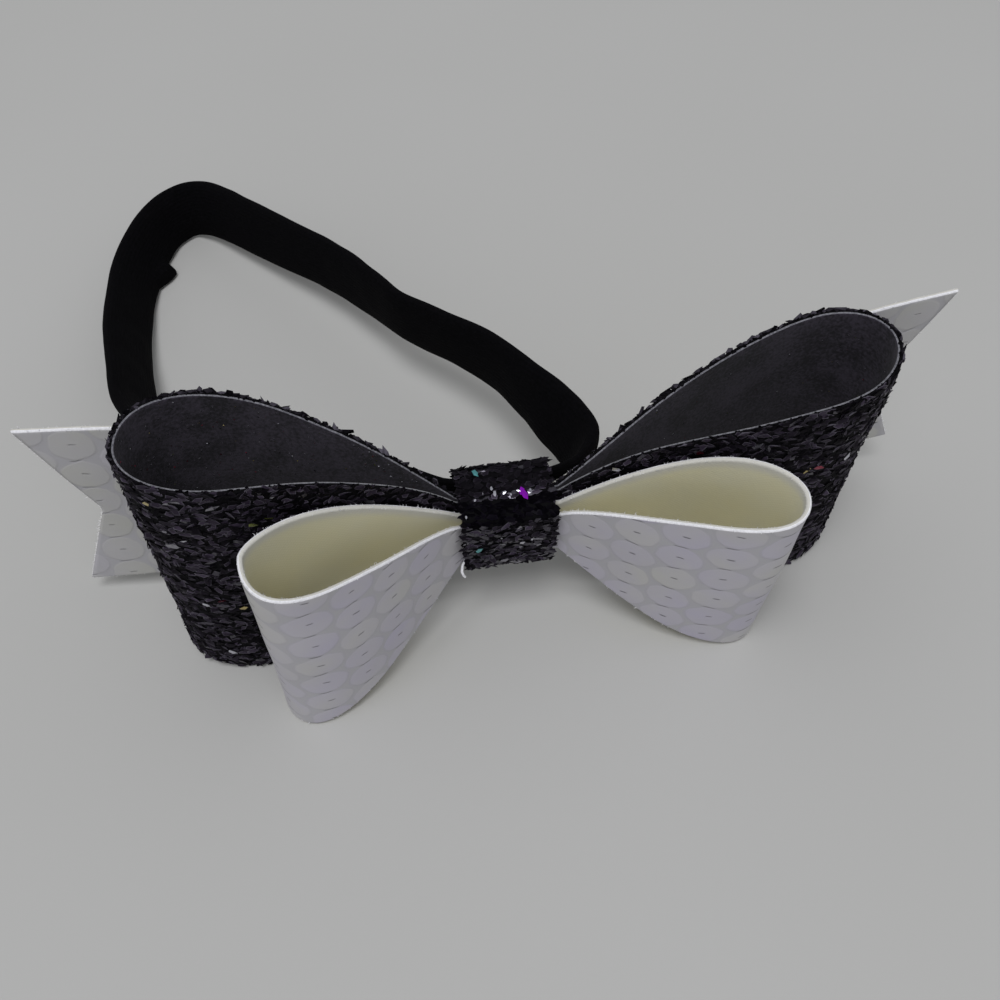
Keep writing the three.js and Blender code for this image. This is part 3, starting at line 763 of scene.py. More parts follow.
def pearl_face(name, pale, lilac_tint, outline, mark_shade_strength, emboss):
    # Pearl-coated faux leather: embossed discs with a faint outline and a small slit in each, in a slightly
    # lustrous grey-white that turns lilac from disc to disc. The slits are darkened, a painted shade, and so
    # is a short line where two discs meet, a painted shadow of the one lying over the other.
    made, tree = material(name, Roughness=0.5, Coat_Weight=0.15, Coat_Roughness=0.35)
    cloth = add(tree, "UVMap", {}, uv_map="cloth")
    wobble = add(tree, "TexNoise", {"Vector": cloth, "Scale": 0.35, "Detail": 1.0}).outputs["Color"]
    wobble = add(tree, "VectorMath", {0: wobble, 1: (0.5, 0.5, 0.5)}, operation="SUBTRACT")
    place = add(tree, "VectorMath", {0: wobble, 1: (0.9, 0.9, 0.0), 2: cloth}, operation="MULTIPLY_ADD")
    pair = (2 * DISC_COLUMN_STEP, DISC_ROW_STEP, 1.0)
    scaled = add(tree, "VectorMath", {0: place, 1: pair}, operation="DIVIDE")
    distances, shades, marks = [], [], []
    # Every second column is half a disc lower, so the discs are two square grids laid over each other.
    for offset in (0.0, 0.5):
        grid = add(tree, "VectorMath", {0: scaled, 1: (0.5 + offset, 0.5 + offset, 0.5)}, operation="ADD")
        cell = add(tree, "VectorMath", {0: grid}, operation="FLOOR")
        cell = add(tree, "VectorMath", {0: cell, 1: (0.0, 0.0, offset)}, operation="ADD")
        shades.append(add(tree, "TexWhiteNoise", {"Vector": cell}))
        local = add(tree, "VectorMath", {0: grid}, operation="FRACTION")
        local = add(tree, "VectorMath", {0: local, 1: (0.5, 0.5, 0.5)}, operation="SUBTRACT")
        local = add(tree, "VectorMath", {0: local, 1: pair}, operation="MULTIPLY")
        squat = add(tree, "VectorMath", {0: local, 1: (DISC_SQUAT, 1.0, 1.0)}, operation="MULTIPLY")
        distances.append(add(tree, "VectorMath", {0: squat}, operation="LENGTH").outputs["Value"])
        parts = add(tree, "SeparateXYZ", {0: local})
        u, v = parts.outputs[0], parts.outputs[1]
        far_u = add(tree, "Math", {0: u}, operation="ABSOLUTE")
        far_v = add(tree, "Math", {0: v}, operation="ABSOLUTE")
        slit = add(tree, "MapRange", {0: far_u, 1: 0.3, 2: SLIT_HALF_LENGTH, 3: 1.0, 4: 0.0})
        thin = add(tree, "MapRange", {0: far_v, 1: 0.06, 2: 0.2, 3: 1.0, 4: 0.0})
        slit = add(tree, "Math", {0: slit, 1: thin}, operation="MULTIPLY")
        left = add(tree, "Math", {0: u, 1: 0.4}, operation="ADD")
        left = add(tree, "Math", {0: left}, operation="ABSOLUTE")
        meet = add(tree, "MapRange", {0: left, 1: 0.6, 2: MEET_HALF_LENGTH, 3: 1.0, 4: 0.0})
        from_meeting = add(tree, "Math", {0: DISC_ROW_STEP / 2, 1: far_v}, operation="SUBTRACT")
        thin = add(tree, "MapRange", {0: from_meeting, 1: 0.03, 2: 0.16, 3: 0.9, 4: 0.0})
        meet = add(tree, "Math", {0: meet, 1: thin}, operation="MULTIPLY")
        marks.append(add(tree, "Math", {0: slit, 1: meet}, operation="MAXIMUM"))
    nearer = add(tree, "Math", {0: distances[0], 1: distances[1]}, operation="LESS_THAN")
    distance = add(tree, "Math", {0: distances[0], 1: distances[1]}, operation="MINIMUM")
    shade = add(tree, "Mix", {0: nearer, 2: shades[1], 3: shades[0]}, data_type="FLOAT")
    mark = add(tree, "Math", {0: marks[0], 1: marks[1]}, operation="MAXIMUM")
    line = add(tree, "Math", {0: distance, 1: DISC_RADIUS}, operation="SUBTRACT")
    line = add(tree, "Math", {0: line}, operation="ABSOLUTE")
    line = add(tree, "MapRange", {0: line, 1: DISC_LINE * 0.4, 2: DISC_LINE * 1.9, 3: 1.0, 4: 0.0})
    inside = add(tree, "MapRange", {0: distance, 1: DISC_RADIUS - 0.25, 2: DISC_RADIUS + 0.3, 3: 1.0, 4: 0.0})
    where = add(tree, "TexCoord", {}).outputs["Object"]
    lustre = add(tree, "TexNoise", {"Vector": where, "Scale": 120.0, "Detail": 2.0})
    lustre = add(tree, "MapRange", {0: lustre, 1: 0.35, 2: 0.65, 3: 0.0, 4: 0.5})
    lilac = add(tree, "Math", {0: shade, 1: 0.55, 2: lustre}, operation="MULTIPLY_ADD")
    disc = add(tree, "Mix", {0: lilac, 6: pale, 7: lilac_tint}, data_type="RGBA").outputs[2]
    tint = add(tree, "Mix", {0: inside, 6: DISC_GROUND, 7: disc}, data_type="RGBA").outputs[2]
    line = add(tree, "Math", {0: line, 1: outline}, operation="MULTIPLY")
    tint = add(tree, "Mix", {0: line, 6: tint, 7: DISC_OUTLINE}, data_type="RGBA").outputs[2]
    # Darkens the slits and the meeting lines: painted shade and painted shadow.
    mark_shade = add(tree, "Math", {0: mark, 1: mark_shade_strength}, operation="MULTIPLY")
    tint = add(tree, "Mix", {0: mark_shade, 6: tint, 7: DISC_MARK_SHADE}, data_type="RGBA").outputs[2]
    dome = add(tree, "MapRange", {0: distance, 1: 0.0, 2: DISC_RADIUS, 3: 0.6, 4: 0.3})
    relief = add(tree, "Math", {0: inside, 1: dome}, operation="MULTIPLY")
    relief = add(tree, "Math", {0: mark, 1: -0.8, 2: relief}, operation="MULTIPLY_ADD")
    relief = add(tree, "Math", {0: line, 1: -0.8, 2: relief}, operation="MULTIPLY_ADD")
    bump = add(tree, "Bump", {"Strength": emboss, "Distance": 0.00015, "Height": relief})
    return surfaced(made, Base_Color=tint, Normal=bump)


def cream_backing():
    # The pearl leather's back: a cream brushed cotton-polyester cloth. Its knit is 0.6 mm, drawn coarser
    # than the real 0.3 mm so that it shows. The outermost millimetre is paler: white fuzz of the cut edge,
    # and painted light where the rim is lit and the inside of the loop is in shade.
    made, tree = material("cream_cloth_backing", Roughness=0.95, Sheen_Weight=0.15)
    cloth = add(tree, "UVMap", {}, uv_map="cloth")
    turns = 2 * math.pi / KNIT_STEP
    knit = add(tree, "VectorMath", {0: cloth, 1: (turns, turns, 0.0)}, operation="MULTIPLY")
    knit = add(tree, "VectorMath", {0: knit}, operation="SINE")
    parts = add(tree, "SeparateXYZ", {0: knit})
    weave = add(tree, "Math", {0: parts.outputs[0], 1: parts.outputs[1]}, operation="MULTIPLY")
    where = add(tree, "TexCoord", {}).outputs["Object"]
    mottle = add(tree, "TexNoise", {"Vector": where, "Scale": 110.0, "Detail": 3.0})
    mottle = add(tree, "MapRange", {0: mottle, 1: 0.3, 2: 0.7})
    fuzz = add(tree, "TexNoise", {"Vector": where, "Scale": 3000.0, "Detail": 2.0})
    tint = add(tree, "Mix", {0: mottle, 6: CREAM_WARM, 7: CREAM_PALE}, data_type="RGBA").outputs[2]
    # The knit's hollows are darkened, a painted shade.
    knit_shade = add(tree, "MapRange", {0: weave, 1: -1.0, 2: 1.0, 3: 0.0, 4: 0.12})
    tint = add(tree, "Mix", {0: knit_shade, 6: tint, 7: CREAM_KNIT_SHADE}, data_type="RGBA").outputs[2]
    # Paler towards the cut edge, ragged with fuzz: partly the fuzz, partly painted light on the rim.
    edge = add(tree, "Attribute", {}, attribute_name="from_edge").outputs["Fac"]
    edge = add(tree, "Math", {0: fuzz, 1: 0.8, 2: edge}, operation="MULTIPLY_ADD")
    pale = add(tree, "MapRange", {0: edge, 1: 0.6, 2: 2.8, 3: 0.9, 4: 0.0}, interpolation_type="SMOOTHSTEP")
    tint = add(tree, "Mix", {0: pale, 6: tint, 7: CREAM_RIM_FUZZ_AND_LIGHT}, data_type="RGBA").outputs[2]
    height = add(tree, "Math", {0: weave, 1: 0.3, 2: fuzz}, operation="MULTIPLY_ADD")
    bump = add(tree, "Bump", {"Strength": 0.35, "Distance": 0.0001, "Height": height})
    return surfaced(made, Base_Color=tint, Normal=bump)


def nylon_band():
    # Soft seamless nylon elastic: very black and matt, with fine ribs along it that are drawn at 0.7 mm.
    made, tree = material("black_nylon_elastic", Roughness=0.95, Specular_IOR_Level=0.06)
    cloth = add(tree, "UVMap", {}, uv_map="cloth")
    ribs = add(tree, "VectorMath", {0: cloth, 1: (0.0, 2 * math.pi / RIB_STEP, 0.0)}, operation="MULTIPLY")
    ribs = add(tree, "VectorMath", {0: ribs}, operation="SINE")
    ribs = add(tree, "SeparateXYZ", {0: ribs}).outputs[1]
    where = add(tree, "TexCoord", {}).outputs["Object"]
    lint = add(tree, "TexNoise", {"Vector": where, "Scale": 1800.0, "Detail": 2.0})
    height = add(tree, "Math", {0: ribs, 1: 0.5, 2: lint}, operation="MULTIPLY_ADD")
    fluff = add(tree, "MapRange", {0: lint, 1: 0.3, 2: 0.8})
    tint = add(tree, "Mix", {0: fluff, 6: NYLON_DEEP, 7: NYLON_PALE}, data_type="RGBA").outputs[2]
    bump = add(tree, "Bump", {"Strength": 0.4, "Distance": 0.0001, "Height": height})
    return surfaced(made, Base_Color=tint, Normal=bump)


def table_top():
    # A plain pale matt table, laminated board, with the faintest unevenness.
    made, tree = material("pale_laminate_table", Roughness=0.75)
    where = add(tree, "TexCoord", {}).outputs["Object"]
    cloud = add(tree, "TexNoise", {"Vector": where, "Scale": 9.0, "Detail": 2.0})
    tint = add(tree, "Mix", {0: cloud, 6: TABLE_DEEP, 7: TABLE_PALE}, data_type="RGBA").outputs[2]
    return surfaced(made, Base_Color=tint)


# Every kind of flake, with its material: the first is nearly all of them.
FLAKE_KINDS = {
    # The last colour of each glitter film is the painted highlight on its flakes' rims.
    "black": glitter_film("black_glitter_flake", "#050307", "#3d3544", "#6c6972", 0.08),
    # Near-black, barely shiny flakes for the wrap's bend: a painted shade.
    "shaded_bend": glitter_film("shaded_bend_black_glitter_flake", "#020104", "#0c0911", "#15111b", 0.03),
    "smoky": coloured_flake("smoky_film_flake", "#625f67", "#2c2a30"),
    "ash": coloured_flake("ash_film_flake", "#a8a6ae", "#55535b"),
    "silver": coloured_flake("silver_film_flake", "#e8e8f0", "#9a9aa4"),
    "teal": coloured_flake("teal_film_flake", "#7ac0c2", "#488f93"),
    "magenta": coloured_flake("magenta_film_flake", "#c22aec", "#8a1abc"),
    "gold": coloured_flake("gold_film_flake", "#e0cf9a", "#8c7a40"),
    "rose": coloured_flake("rose_film_flake", "#b04058", "#581c2c"),
    "lime": coloured_flake("lime_film_flake", "#8f9650", "#5c6428"),
}
KIND_NAMES = list(FLAKE_KINDS)
BRIGHT_KINDS = [KIND_NAMES.index(name) for name in ("silver", "gold", "rose", "lime")]
DUST_KINDS = [KIND_NAMES.index(name) for name in ("smoky", "ash", "silver", "gold", "rose", "lime")]
GROUND = resin_ground()
FELT = felt_backing()
GREY_EDGE = cut_edge("grey_cut_edge", "#5a5a60", "#84848a")
WHITE_EDGE = cut_edge("white_cut_edge", "#e9e9ec", "#f8f8fa")
PEARL = pearl_face("pearl_disc_leather", "#bfbebb", "#b8b4c4", 0.2, 0.75, 0.5)
TAIL_PEARL = pearl_face("worn_pearl_disc_leather", "#bbbbb3", "#b9b7bd", 0.16, 0.35, 1.0)
CREAM = cream_backing()
NYLON = nylon_band()


# Pieces
def away_from_wrap(cloth, start, full):
    """0 inside and next to the wrap, 1 well outside it."""
    away = np.abs(cloth.points[..., 0] - BOX_SHIFT[0])
    return ease(np.clip((away - start) / (full - start), 0, 1))


def glitter_over(cloth, cell):
    """Places in a jittered grid over a ring's outer face, as along, across and half-width in mm."""
    along = cloth.along[:, 0]
    half = np.abs(cloth.across).max(axis=1)
    rows_u, rows_v, rows_i = [], [], []
    for u in np.arange(0, cloth.total, cell):
        i = np.interp(u, np.append(along, cloth.total), np.arange(len(along) + 1))
        h = np.interp(u, np.append(along, cloth.total), np.append(half, half[0]))
        count = int(round(2 * h / cell)) + 1
        v = np.linspace(-h, h, count)
        rows_v.append(v + rng.uniform(-0.45, 0.45, count) * cell)
        rows_u.append(u + rng.uniform(-0.5, 0.5, count) * cell)
        rows_i.append(np.full(count, h))
    u, v, h = np.concatenate(rows_u), np.concatenate(rows_v), np.concatenate(rows_i)
    return u % cloth.total, np.clip(v, -h, h), h


def rows_and_columns(cloth, u, v, h):
    along = cloth.along[:, 0]
    i = np.interp(u, np.append(along, cloth.total), np.arange(len(along) + 1))
    level = cloth.across[0] / np.abs(cloth.across[0]).max()
    j = np.interp(np.clip(v / h, -1, 1), level, np.arange(len(level)))
    return i, j


def rim_places(cloth, step, jitter):
    """Rows and columns of places along both long edges, each moved along by up to jitter."""
    u = np.tile(np.arange(0, cloth.total, step), 2)
    side = np.repeat([-1.0, 1.0], len(u) // 2)
    if jitter:
        u = u + rng.uniform(-jitter, jitter, len(u))
    return rows_and_columns(cloth, u % cloth.total, side, np.ones(len(u)))


def strewn(count, shares, bright_share):
    """A kind for each flake: black but for the given shares, and a share of any bright colour."""
    kind = np.zeros(count, int)
    for name, share in shares.items():
        kind[rng.uniform(size=count) < share] = KIND_NAMES.index(name)
    bright = rng.uniform(size=count) < bright_share
    kind[bright] = rng.choice(BRIGHT_KINDS, bright.sum())
    return kind


def placed_flakes(cloth, accents, lift):
    """Single flakes at chosen places. Returns them and their kinds."""
    u, v, size = np.array([accent[:3] for accent in accents]).T
    half = np.interp(u, cloth.along[:, 0], np.abs(cloth.across).max(axis=1))
    i, j = rows_and_columns(cloth, u, v, half)
    made = flakes(cloth, i, j, lift, size, 1.3, 0.1, bend=0.05)
    return made, np.array([KIND_NAMES.index(accent[3]) for accent in accents])


def place_x(cloth, i, j):
    return cloth.at(i, j, 0.0)[0][:, 0] - BOX_SHIFT[0]


# The glitter is a pile on a thinner cloth, and ends where the part's wall does.
PILE_HEIGHT = 0.3
# The pearl leather's edge is pressed thinner where it was cut.
PRESSED = 0.32
# How far apart the flakes lie on the loops and on the wrap, over the face and along the rims
LOOP_CELL, LOOP_RIM_STEP = 0.78, 0.7
WRAP_CELL, WRAP_RIM_STEP = 0.72, 0.8
# How far the flakes on the loops keep from the wrap, over the face and along the rims
LOOP_CLEAR, LOOP_RIM_CLEAR = 0.5, 0.6
DUST_TRIES = 4200
DUST_RIGHT_SHARE = 0.2
DUST_STARTS = 12
# Where the ruffles of each strip start and where they are full, in mm from the middle
BLACK_RUFFLED, WHITE_RUFFLED, TAILS_RUFFLED = (9, 26), (9, 22), (12, 30)

# The large black loops.
black = loop_pair(BLACK_STRIP, BLACK_LOOPS, 170, 8, 30)
black.ruffle(0.5, 14.0, away_from_wrap(black, *BLACK_RUFFLED), 1)
black.thin(PILE_HEIGHT, 1)
black_loops = sheet_piece("black_glitter_loops", black, [GROUND, FELT, GREY_EDGE], [0, 0, 2], 0.04, 0.02)

u, v, h = glitter_over(black, LOOP_CELL)
i, j = rows_and_columns(black, u, v, h)
free = np.abs(place_x(black, i, j)) > WRAP_WIDTH / 2 + LOOP_CLEAR
u, v, h, i, j = (a[free] for a in (u, v, h, i, j))
# Next to the wrap the flakes lie closer to the cloth.
loose = np.clip((np.abs(place_x(black, i, j)) - 7) / 5, 0.25, 1)
body = flakes(black, i, j, (-0.12, 0.16), (0.5, 0.8), (1.2, 1.7), 0.2, loose=loose)
kind = strewn(len(i), {"smoky": 0.03, "ash": 0.006}, 0.002)
shade = rng.beta(0.65, 0.95, len(i))

rim_i, rim_j = rim_places(black, LOOP_RIM_STEP, 0.3)
rim_free = np.abs(place_x(black, rim_i, rim_j)) > WRAP_WIDTH / 2 + LOOP_RIM_CLEAR
rim_i, rim_j = rim_i[rim_free], rim_j[rim_free]
rim = flakes(black, rim_i, rim_j, (-0.4, 0.0), (0.28, 0.46), (1.0, 1.5), 0.15, swing=2.0, bend=0.18)
# The coloured flakes: along and across in mm, size and kind.
BLACK_ACCENTS = [
    (168.1, 20.6, 0.55, "gold"),
    (179.7, 15.9, 0.55, "lime"),
    (170.3, -4.2, 0.5, "silver"),
    (171.2, -18.9, 0.55, "silver"),
    (175.1, -4.7, 0.45, "gold"),
    (36.6, 8.2, 0.7, "rose"),
    (19.3, 16.0, 0.5, "rose"),
    (8.6, 11.7, 0.6, "silver"),
]
accent, accent_kind = placed_flakes(black, BLACK_ACCENTS, 0.32)
black_flakes = flake_piece(
    "black_loop_glitter",
    [(body, kind, shade), (rim, 0, rng.beta(0.6, 6.0, len(rim_i))), (accent, accent_kind, 1.0)],
)

# Specks of glitter dust caught in the felt inside the loops, more of them in the left loop.
dust_u = rng.uniform(0, black.total, DUST_TRIES)
left_loop = dust_u > black.total / 2
dust_u = dust_u[left_loop | (rng.uniform(size=len(dust_u)) < DUST_RIGHT_SHARE)]
dust_level = rng.uniform(-0.98, 0.98, len(dust_u))
dust_i, dust_j = rows_and_columns(black, dust_u, dust_level, np.ones(len(dust_u)))
dust_free = np.abs(place_x(black, dust_i, dust_j)) > DUST_STARTS
dust_i, dust_j = dust_i[dust_free], dust_j[dust_free]
dust = flakes(
    black, dust_i, dust_j, 0.0, (0.1, 0.2), (1.0, 1.3), 0.5, sides=4, bend=0.03, depth=0.06, side=-1.0
)
dust_kind = rng.choice(DUST_KINDS, len(dust_i), p=[0.05, 0.3, 0.32, 0.1, 0.15, 0.08])
black_dust = flake_piece("black_loop_dust", [(dust, dust_kind, 1.0)])

# The small white loops.
white = loop_pair(WHITE_STRIP, WHITE_LOOPS, 150, 8, 32)
white.ruffle(0.35, 12.0, away_from_wrap(white, *WHITE_RUFFLED), 2)
white.thin(PRESSED, -1)


def disc_grid(cloth):
    """The loops' own measure, shifted so that the discs fall where the photo shows them on both fronts."""
    stops = [0, 45, 110, cloth.total]
    moved_u = np.interp(cloth.along, stops, [-5.98, 39.02, 101.0, cloth.total - 9.0])
    moved_v = np.interp(cloth.along, stops, [4.37, 8.15, 7.62, 0.19])
    return np.stack([moved_u, cloth.across - moved_v], -1)


# The slots of a white strip's cut edge, from its pearl side to its cream side
WHITE_EDGE_SLOTS = [2, 2, 1, 1, 1]
white_loops = sheet_piece(
    "white_pearl_loops", white, [PEARL, CREAM, WHITE_EDGE], WHITE_EDGE_SLOTS, 0.26, 0.03, disc_grid(white)
)

# The tails.
tails = tail_surface(34, 181)
tails.ruffle(0.3, 13.0, away_from_wrap(tails, *TAILS_RUFFLED), 3)
tails.thin(PRESSED, -1)
# The discs fall where the photo shows them on both tails.
tail_u = np.where(tails.along < 0, tails.along + 57.9, tails.along - 60.0)
tail_grid = np.stack([tail_u, (tails.across - 2.14) * 0.91], -1)
tail_strip = sheet_piece(
    "white_pearl_tails", tails, [TAIL_PEARL, CREAM, WHITE_EDGE], WHITE_EDGE_SLOTS, 0.26, 0.03, tail_grid
)


def frayed_edge(cloth, name, step, skip):
    """Fibres standing out of both long edges and, on an open strip, out of its two ends."""
    points, normals = cloth.points, cloth.normals
    edges = [(points[:, last], points[:, before], normals[:, last], True) for last, before in BOTH_EDGES]
    if not cloth.closed:
        edges += [(points[last], points[before], normals[last], False) for last, before in BOTH_EDGES]
    places, outward, sideways = [], [], []
    for line, inner, line_normals, jittered in edges:
        run = run_along(line)
        at = np.arange(0, run[-1], step)
        if jittered:
            at = np.clip(at + rng.uniform(-0.5, 0.5, len(at)) * step, 0, run[-1])
        way = unit(read_off(at, run, unit(line - inner)))
        normal = unit(read_off(at, run, line_normals))
        spot = read_off(at, run, line) + normal * rng.uniform(-0.5, 0.5, (len(at), 1)) * cloth.wall
        keep = np.abs(spot[:, 0] - BOX_SHIFT[0]) > skip
        places.append(spot[keep])
        outward.append(way[keep])
        sideways.append(normal[keep])
    places, outward, sideways = (np.concatenate(part) for part in (places, outward, sideways))
    length = rng.gamma(2.0, 0.1, len(places)) + 0.1
    return fibres(places, outward, sideways, np.minimum(length, 0.9), 0.05, name, WHITE_EDGE)


white_frays = frayed_edge(white, "white_loop_frays", 0.11, 7.4)
tail_frays = frayed_edge(tails, "white_tail_frays", 0.16, 8.5)

# The wrap.
# Where along the wrap, in mm, its top and the bend below it are painted in shade
WRAP_SHADED_TOP = (14.0, 27.1)
WRAP_BEND = (28.3, 31.6)
wrap = wrap_surface(180, 24)
wrap.thin(PILE_HEIGHT, 1)
centre_wrap = sheet_piece("black_glitter_wrap", wrap, [GROUND, FELT, GREY_EDGE], [0, 0, 2], 0.05, 0.02)
u, v, h = glitter_over(wrap, WRAP_CELL)
i, j = rows_and_columns(wrap, u, v, h)
body = flakes(wrap, i, j, (0.0, 0.3), (0.42, 0.7), (0.62, 0.85), 0.17)
# Its top gets darker flakes and fewer grey film flakes, a painted shade, and the bend below the top gets
# near-black flakes, a deeper painted shade.
shaded_top = (u > WRAP_SHADED_TOP[0]) & (u < WRAP_SHADED_TOP[1])
shaded_bend = (u > WRAP_BEND[0]) & (u < WRAP_BEND[1])
shade = rng.beta(0.8, 1.2, len(i)) * np.where(shaded_top, 0.42, 1.0)
rim_i, rim_j = rim_places(wrap, WRAP_RIM_STEP, 0)
rim = flakes(wrap, rim_i, rim_j, (-0.3, 0.2), (0.35, 0.6), (1.0, 1.3), 0.4, swing=2.0, bend=0.2)
# Again along and across in mm, size and kind. The small silver ones are glints where the film shows.
WRAP_ACCENTS = [
    (23.96, -3.72, 0.55, "teal"),
    (37.33, -4.4, 0.6, "teal"),
    (28.18, 2.51, 0.7, "magenta"),
    (27.63, 2.17, 0.6, "magenta"),
    (27.5, 3.4, 0.2, "silver"),
    (27.9, 0.6, 0.2, "silver"),
    (27.2, -3.2, 0.18, "silver"),
    (28.2, -4.4, 0.22, "silver"),
    (36.1, 3.1, 0.2, "silver"),
    (34.7, -1.2, 0.18, "silver"),
    (26.63, -1.91, 0.28, "silver"),
    (27.49, -1.57, 0.36, "silver"),
    (27.47, -0.21, 0.3, "silver"),
    (27.43, 1.72, 0.26, "silver"),
    (36.67, 1.72, 0.4, "silver"),
    (30.33, -5.95, 0.22, "silver"),
]
accent, accent_kind = placed_flakes(wrap, WRAP_ACCENTS, 0.42)
kind = strewn(len(i), {"smoky": 0.3, "ash": 0.09}, 0)
kind[shaded_top] = strewn(shaded_top.sum(), {"smoky": 0.02, "ash": 0.006}, 0)
# All the bend's flakes take the near-black kind, a painted shade.
kind[shaded_bend] = KIND_NAMES.index("shaded_bend")
wrap_flakes = flake_piece(
    "wrap_glitter",
    [(body, kind, shade), (rim, 0, rng.beta(0.8, 4.0, len(rim_i))), (accent, accent_kind, 1.0)],
)


# The headband.
def band_points():
    """Stations of the middle line, each with its lean in degrees and how far it is squeezed."""
    end = WRAP_WIDTH / 2 + BAND_EXIT_LENGTH
    inside = end - BAND_STRAIGHT_END
    rows = []
    for x in (-end, -inside, inside, end):
        slack = BAND_SLACK if abs(x) == end else 0
        place = on_bow(np.array([[WRAP_MIDDLE_X + x, BAND_MIDDLE_Y + slack, 0.0]]))[0] - BOX_SHIFT
        rows.append((*place, BOW_LEAN_DEG, 1.0))
    for k, (across, back, up, lean) in enumerate(BAND_PATH):
        squeezed = BAND_END_SQUEEZED if k in (0, len(BAND_PATH) - 1) else 0.0
        place = (across * BAND_LEFT_REACH, back * BAND_BACK_REACH, up * BOW_CENTRE_HEIGHT)
        rows.append((*place, lean, squeezed))
    return np.array(rows)


def closed_line(stations, per_span):
    """A closed centripetal Catmull-Rom curve through the stations, with their other values eased between."""
    total = len(stations)
    places = stations[:, :3]
    points, values = [], []
    for k in range(total):
        p = [places[(k + d) % total] for d in (-1, 0, 1, 2)]
        d0, d1, d2 = (max(np.linalg.norm(p[n + 1] - p[n]) ** 0.5, 1e-4) for n in range(3))
        t1 = ((p[1] - p[0]) / d0 - (p[2] - p[0]) / (d0 + d1) + (p[2] - p[1]) / d1) * d1
        t2 = ((p[2] - p[1]) / d1 - (p[3] - p[1]) / (d1 + d2) + (p[3] - p[2]) / d2) * d1
        for t in np.arange(per_span) / per_span:
            c2 = -3 * p[1] + 3 * p[2] - 2 * t1 - t2
            c3 = 2 * p[1] - 2 * p[2] + t1 + t2
            points.append(p[1] + t1 * t + c2 * t**2 + c3 * t**3)
            share = ease(t)
            values.append(stations[k, 3:] * (1 - share) + stations[(k + 1) % total, 3:] * share)
    return np.array(points), np.array(values)


def band_piece(rows, around):
    points, values = closed_line(band_points(), 60)
    points, values = np.vstack([points, points[:1]]), np.vstack([values, values[:1]])
    run = run_along(points)
    length = run[-1]
    at = np.linspace(0, length, rows, endpoint=False)
    middle = read_off(at, run, points)
    lean = np.radians(np.interp(at, run, values[:, 0]))[:, None]
    squeezed = np.interp(at, run, values[:, 1])
    tangent = unit(np.roll(middle, -2, 0) - np.roll(middle, 2, 0))
    outward = unit(np.cross(tangent, [0, 0, 1.0]))
    upright = unit(np.cross(outward, tangent))
    wide = upright * np.cos(lean) + outward * np.sin(lean)
    thin = outward * np.cos(lean) - upright * np.sin(lean)
    half_width = (BAND_WIDTH + (BAND_SQUEEZED_WIDTH - BAND_WIDTH) * squeezed) / 2
    half_thin = (BAND_THICKNESS + (BAND_SQUEEZED_THICKNESS - BAND_THICKNESS) * squeezed) / 2
    angle = np.linspace(0, 2 * math.pi, around, endpoint=False)
    power = 2 / BAND_SECTION_POWER
    wide_share = np.sign(np.cos(angle)) * np.abs(np.cos(angle)) ** power
    thin_share = np.sign(np.sin(angle)) * np.abs(np.sin(angle)) ** power
    # The soft tube is a little slack: its two faces wave gently and its edges are not quite straight.
    free = ease(np.clip((np.abs(middle[:, 0]) + np.abs(middle[:, 1]) * 2 - 9) / 14, 0, 1))
    soft = np.array([[noise.noise(Vector((a / 16, 3.1 * k, 0.7))) for k in range(3)] for a in at])
    soft = soft * free[:, None]
    half_width = half_width * (1 + BAND_WIDTH_WAVES * soft[:, 0])
    ring = [(1.9 * math.cos(b), 1.9 * math.sin(b)) for b in angle]
    creases = np.array([[noise.noise(Vector((a / 5, *place))) for place in ring] for a in at])
    thickness = half_thin[:, None] + BAND_CREASES * creases * free[:, None]
    section = (
        middle[:, None]
        + wide[:, None] * (wide_share[None] * half_width[:, None])[..., None]
        + thin[:, None] * (thin_share[None] * thickness)[..., None]
        + thin[:, None] * (BAND_WAVES * soft[:, 1])[:, None, None]
    )
    seam = SEAM_HEIGHT * np.interp(at - SEAM_AROUND * length, *np.transpose(SEAM_PROFILE))
    low = np.where(wide_share < -0.5, -wide_share, 0)
    section = section - outward[:, None] * (seam[:, None] * low[None])[..., None]
    section = section + BOX_SHIFT
    girth = run_along(section[rows // 2])
    faces, uvs = [], []
    for r in range(rows):
        n = (r + 1) % rows
        for k in range(around):
            m = (k + 1) % around
            faces.append((r * around + k, r * around + m, n * around + m, n * around + k))
            top = girth[m] if m else girth[-1] + 0.5
            far = at[n] if n else length
            uvs.append(((at[r], girth[k]), (at[r], top), (far, top), (far, girth[k])))
    piece = new_mesh("black_nylon_headband", section.reshape(-1, 3), faces, [NYLON])
    layer = piece.data.uv_layers.new(name="cloth")
    layer.data.foreach_set("uv", np.array(uvs, dtype=np.float32).ravel())
    recalculate(piece)
    return piece


headband = band_piece(520, 40)

# A loose thread that hangs from the white strip at the lower left corner of the wrap.
THREAD_THICKNESS = 0.4
THREAD_PATH = [
    (-6.6, -4.2, -4.4),
    (-7.1, -4.9, -4.9),
    (-7.3, -5.5, -5.5),
    (-7.1, -5.8, -6.3),
    (-6.9, -5.7, -6.9),
]
thread_line = bpy.data.curves.new("loose_thread", "CURVE")
thread_line.dimensions = "3D"
thread_line.bevel_depth = THREAD_THICKNESS / 2 * MM
thread_line.bevel_resolution = 2
thread_line.use_fill_caps = True
spline = thread_line.splines.new("POLY")
places = on_bow(np.array(THREAD_PATH))
spline.points.add(len(places) - 1)
for point, place in zip(spline.points, places):
    point.co = (*(place * MM), 1.0)
thread_curve = bpy.data.objects.new("loose_thread_curve", thread_line)
bpy.context.scene.collection.objects.link(thread_curve)
thread_mesh = bpy.data.meshes.new_from_object(thread_curve)
bpy.data.objects.remove(thread_curve)
thread_mesh.materials.clear()
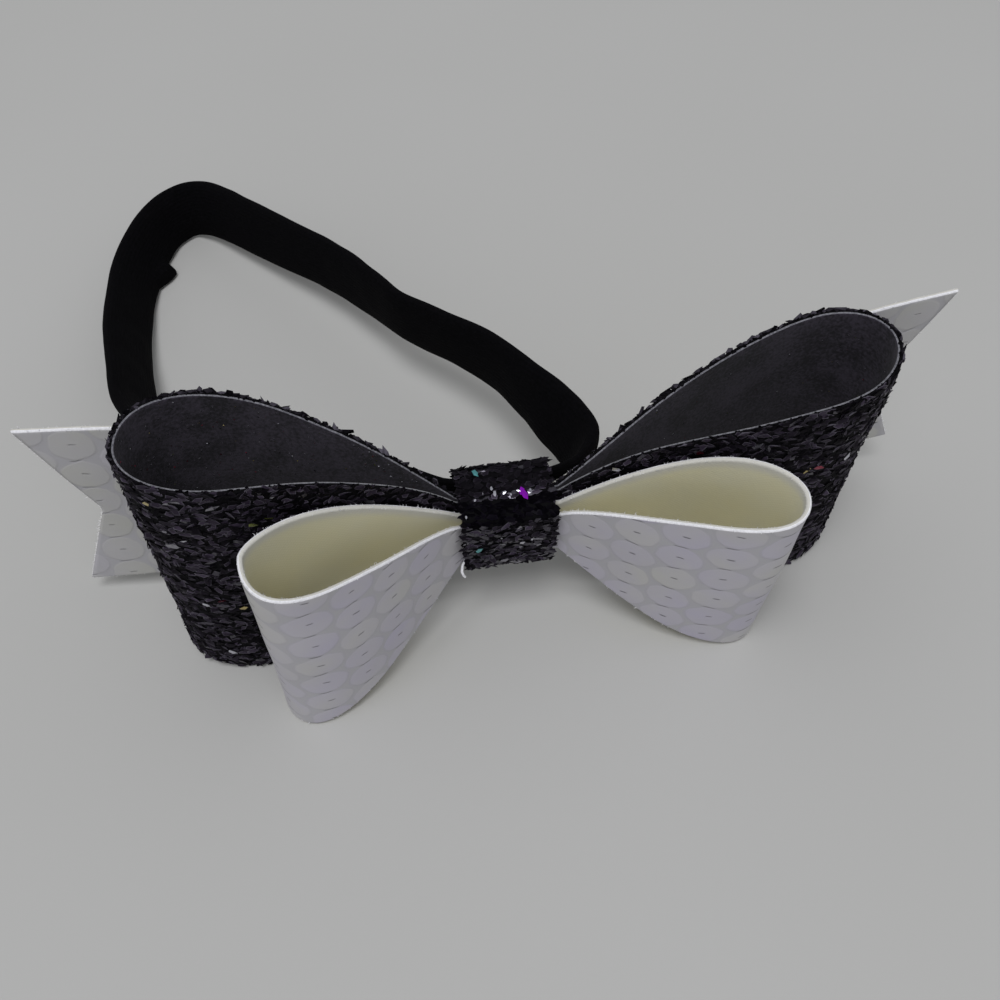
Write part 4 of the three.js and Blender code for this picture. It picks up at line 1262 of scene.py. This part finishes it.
thread_mesh.materials.append(WHITE_EDGE)
loose_thread = bpy.data.objects.new("loose_thread", thread_mesh)
bpy.context.scene.collection.objects.link(loose_thread)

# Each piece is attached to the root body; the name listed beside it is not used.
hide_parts("black_loops")
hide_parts("white_loops")
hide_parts("tails")
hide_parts("centre_wrap")
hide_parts("headband")
for piece, slot in (
    (black_loops, "black_glitter_leather"),
    (black_flakes, "black_glitter_leather"),
    (black_dust, "black_glitter_leather"),
    (white_loops, "pearl_leather"),
    (white_frays, "pearl_leather"),
    (loose_thread, "pearl_leather"),
    (tail_strip, "pearl_tail_leather"),
    (tail_frays, "pearl_tail_leather"),
    (centre_wrap, "black_wrap_leather"),
    (wrap_flakes, "black_wrap_leather"),
    (headband, "black_elastic"),
):
    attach(piece, "root")

# Table and light. The table top lies a little under the part's floor, below the lowest fibres.
TABLE_SIZE = 12
TABLE_HEIGHT = -0.0003
LAMP_POWER = 36.5
ROOM_STRENGTH = 0.46
bpy.ops.object.select_all(action="DESELECT")
bpy.ops.mesh.primitive_plane_add(size=TABLE_SIZE, location=(0, 0, TABLE_HEIGHT))
table = bpy.context.object
table.name = "table"
bpy.ops.object.transform_apply(location=True)
table.data.materials.append(table_top())


def add_lamp(name, place, aim, size, power, tint):
    data = bpy.data.lights.new(name, "AREA")
    data.shape = "RECTANGLE"
    data.size, data.size_y = size
    data.energy = power
    data.color = colour(tint)[:3]
    lamp = bpy.data.objects.new(name, data)
    lamp.location = place
    lamp.rotation_euler = (Vector(aim) - Vector(place)).to_track_quat("-Z", "Y").to_euler()
    bpy.context.scene.collection.objects.link(lamp)


add_lamp("ceiling_light", (-0.25, -1.05, 2.38), (0, 0, 0), (1.0, 1.0), LAMP_POWER, "#fbfbff")

world = bpy.data.worlds.new("soft_room")
world.use_nodes = True
background = world.node_tree.nodes["Background"]
background.inputs["Color"].default_value = colour("#e9eaee")
background.inputs["Strength"].default_value = ROOM_STRENGTH
bpy.context.scene.world = world
bpy.context.scene.view_settings.view_transform = "Standard"
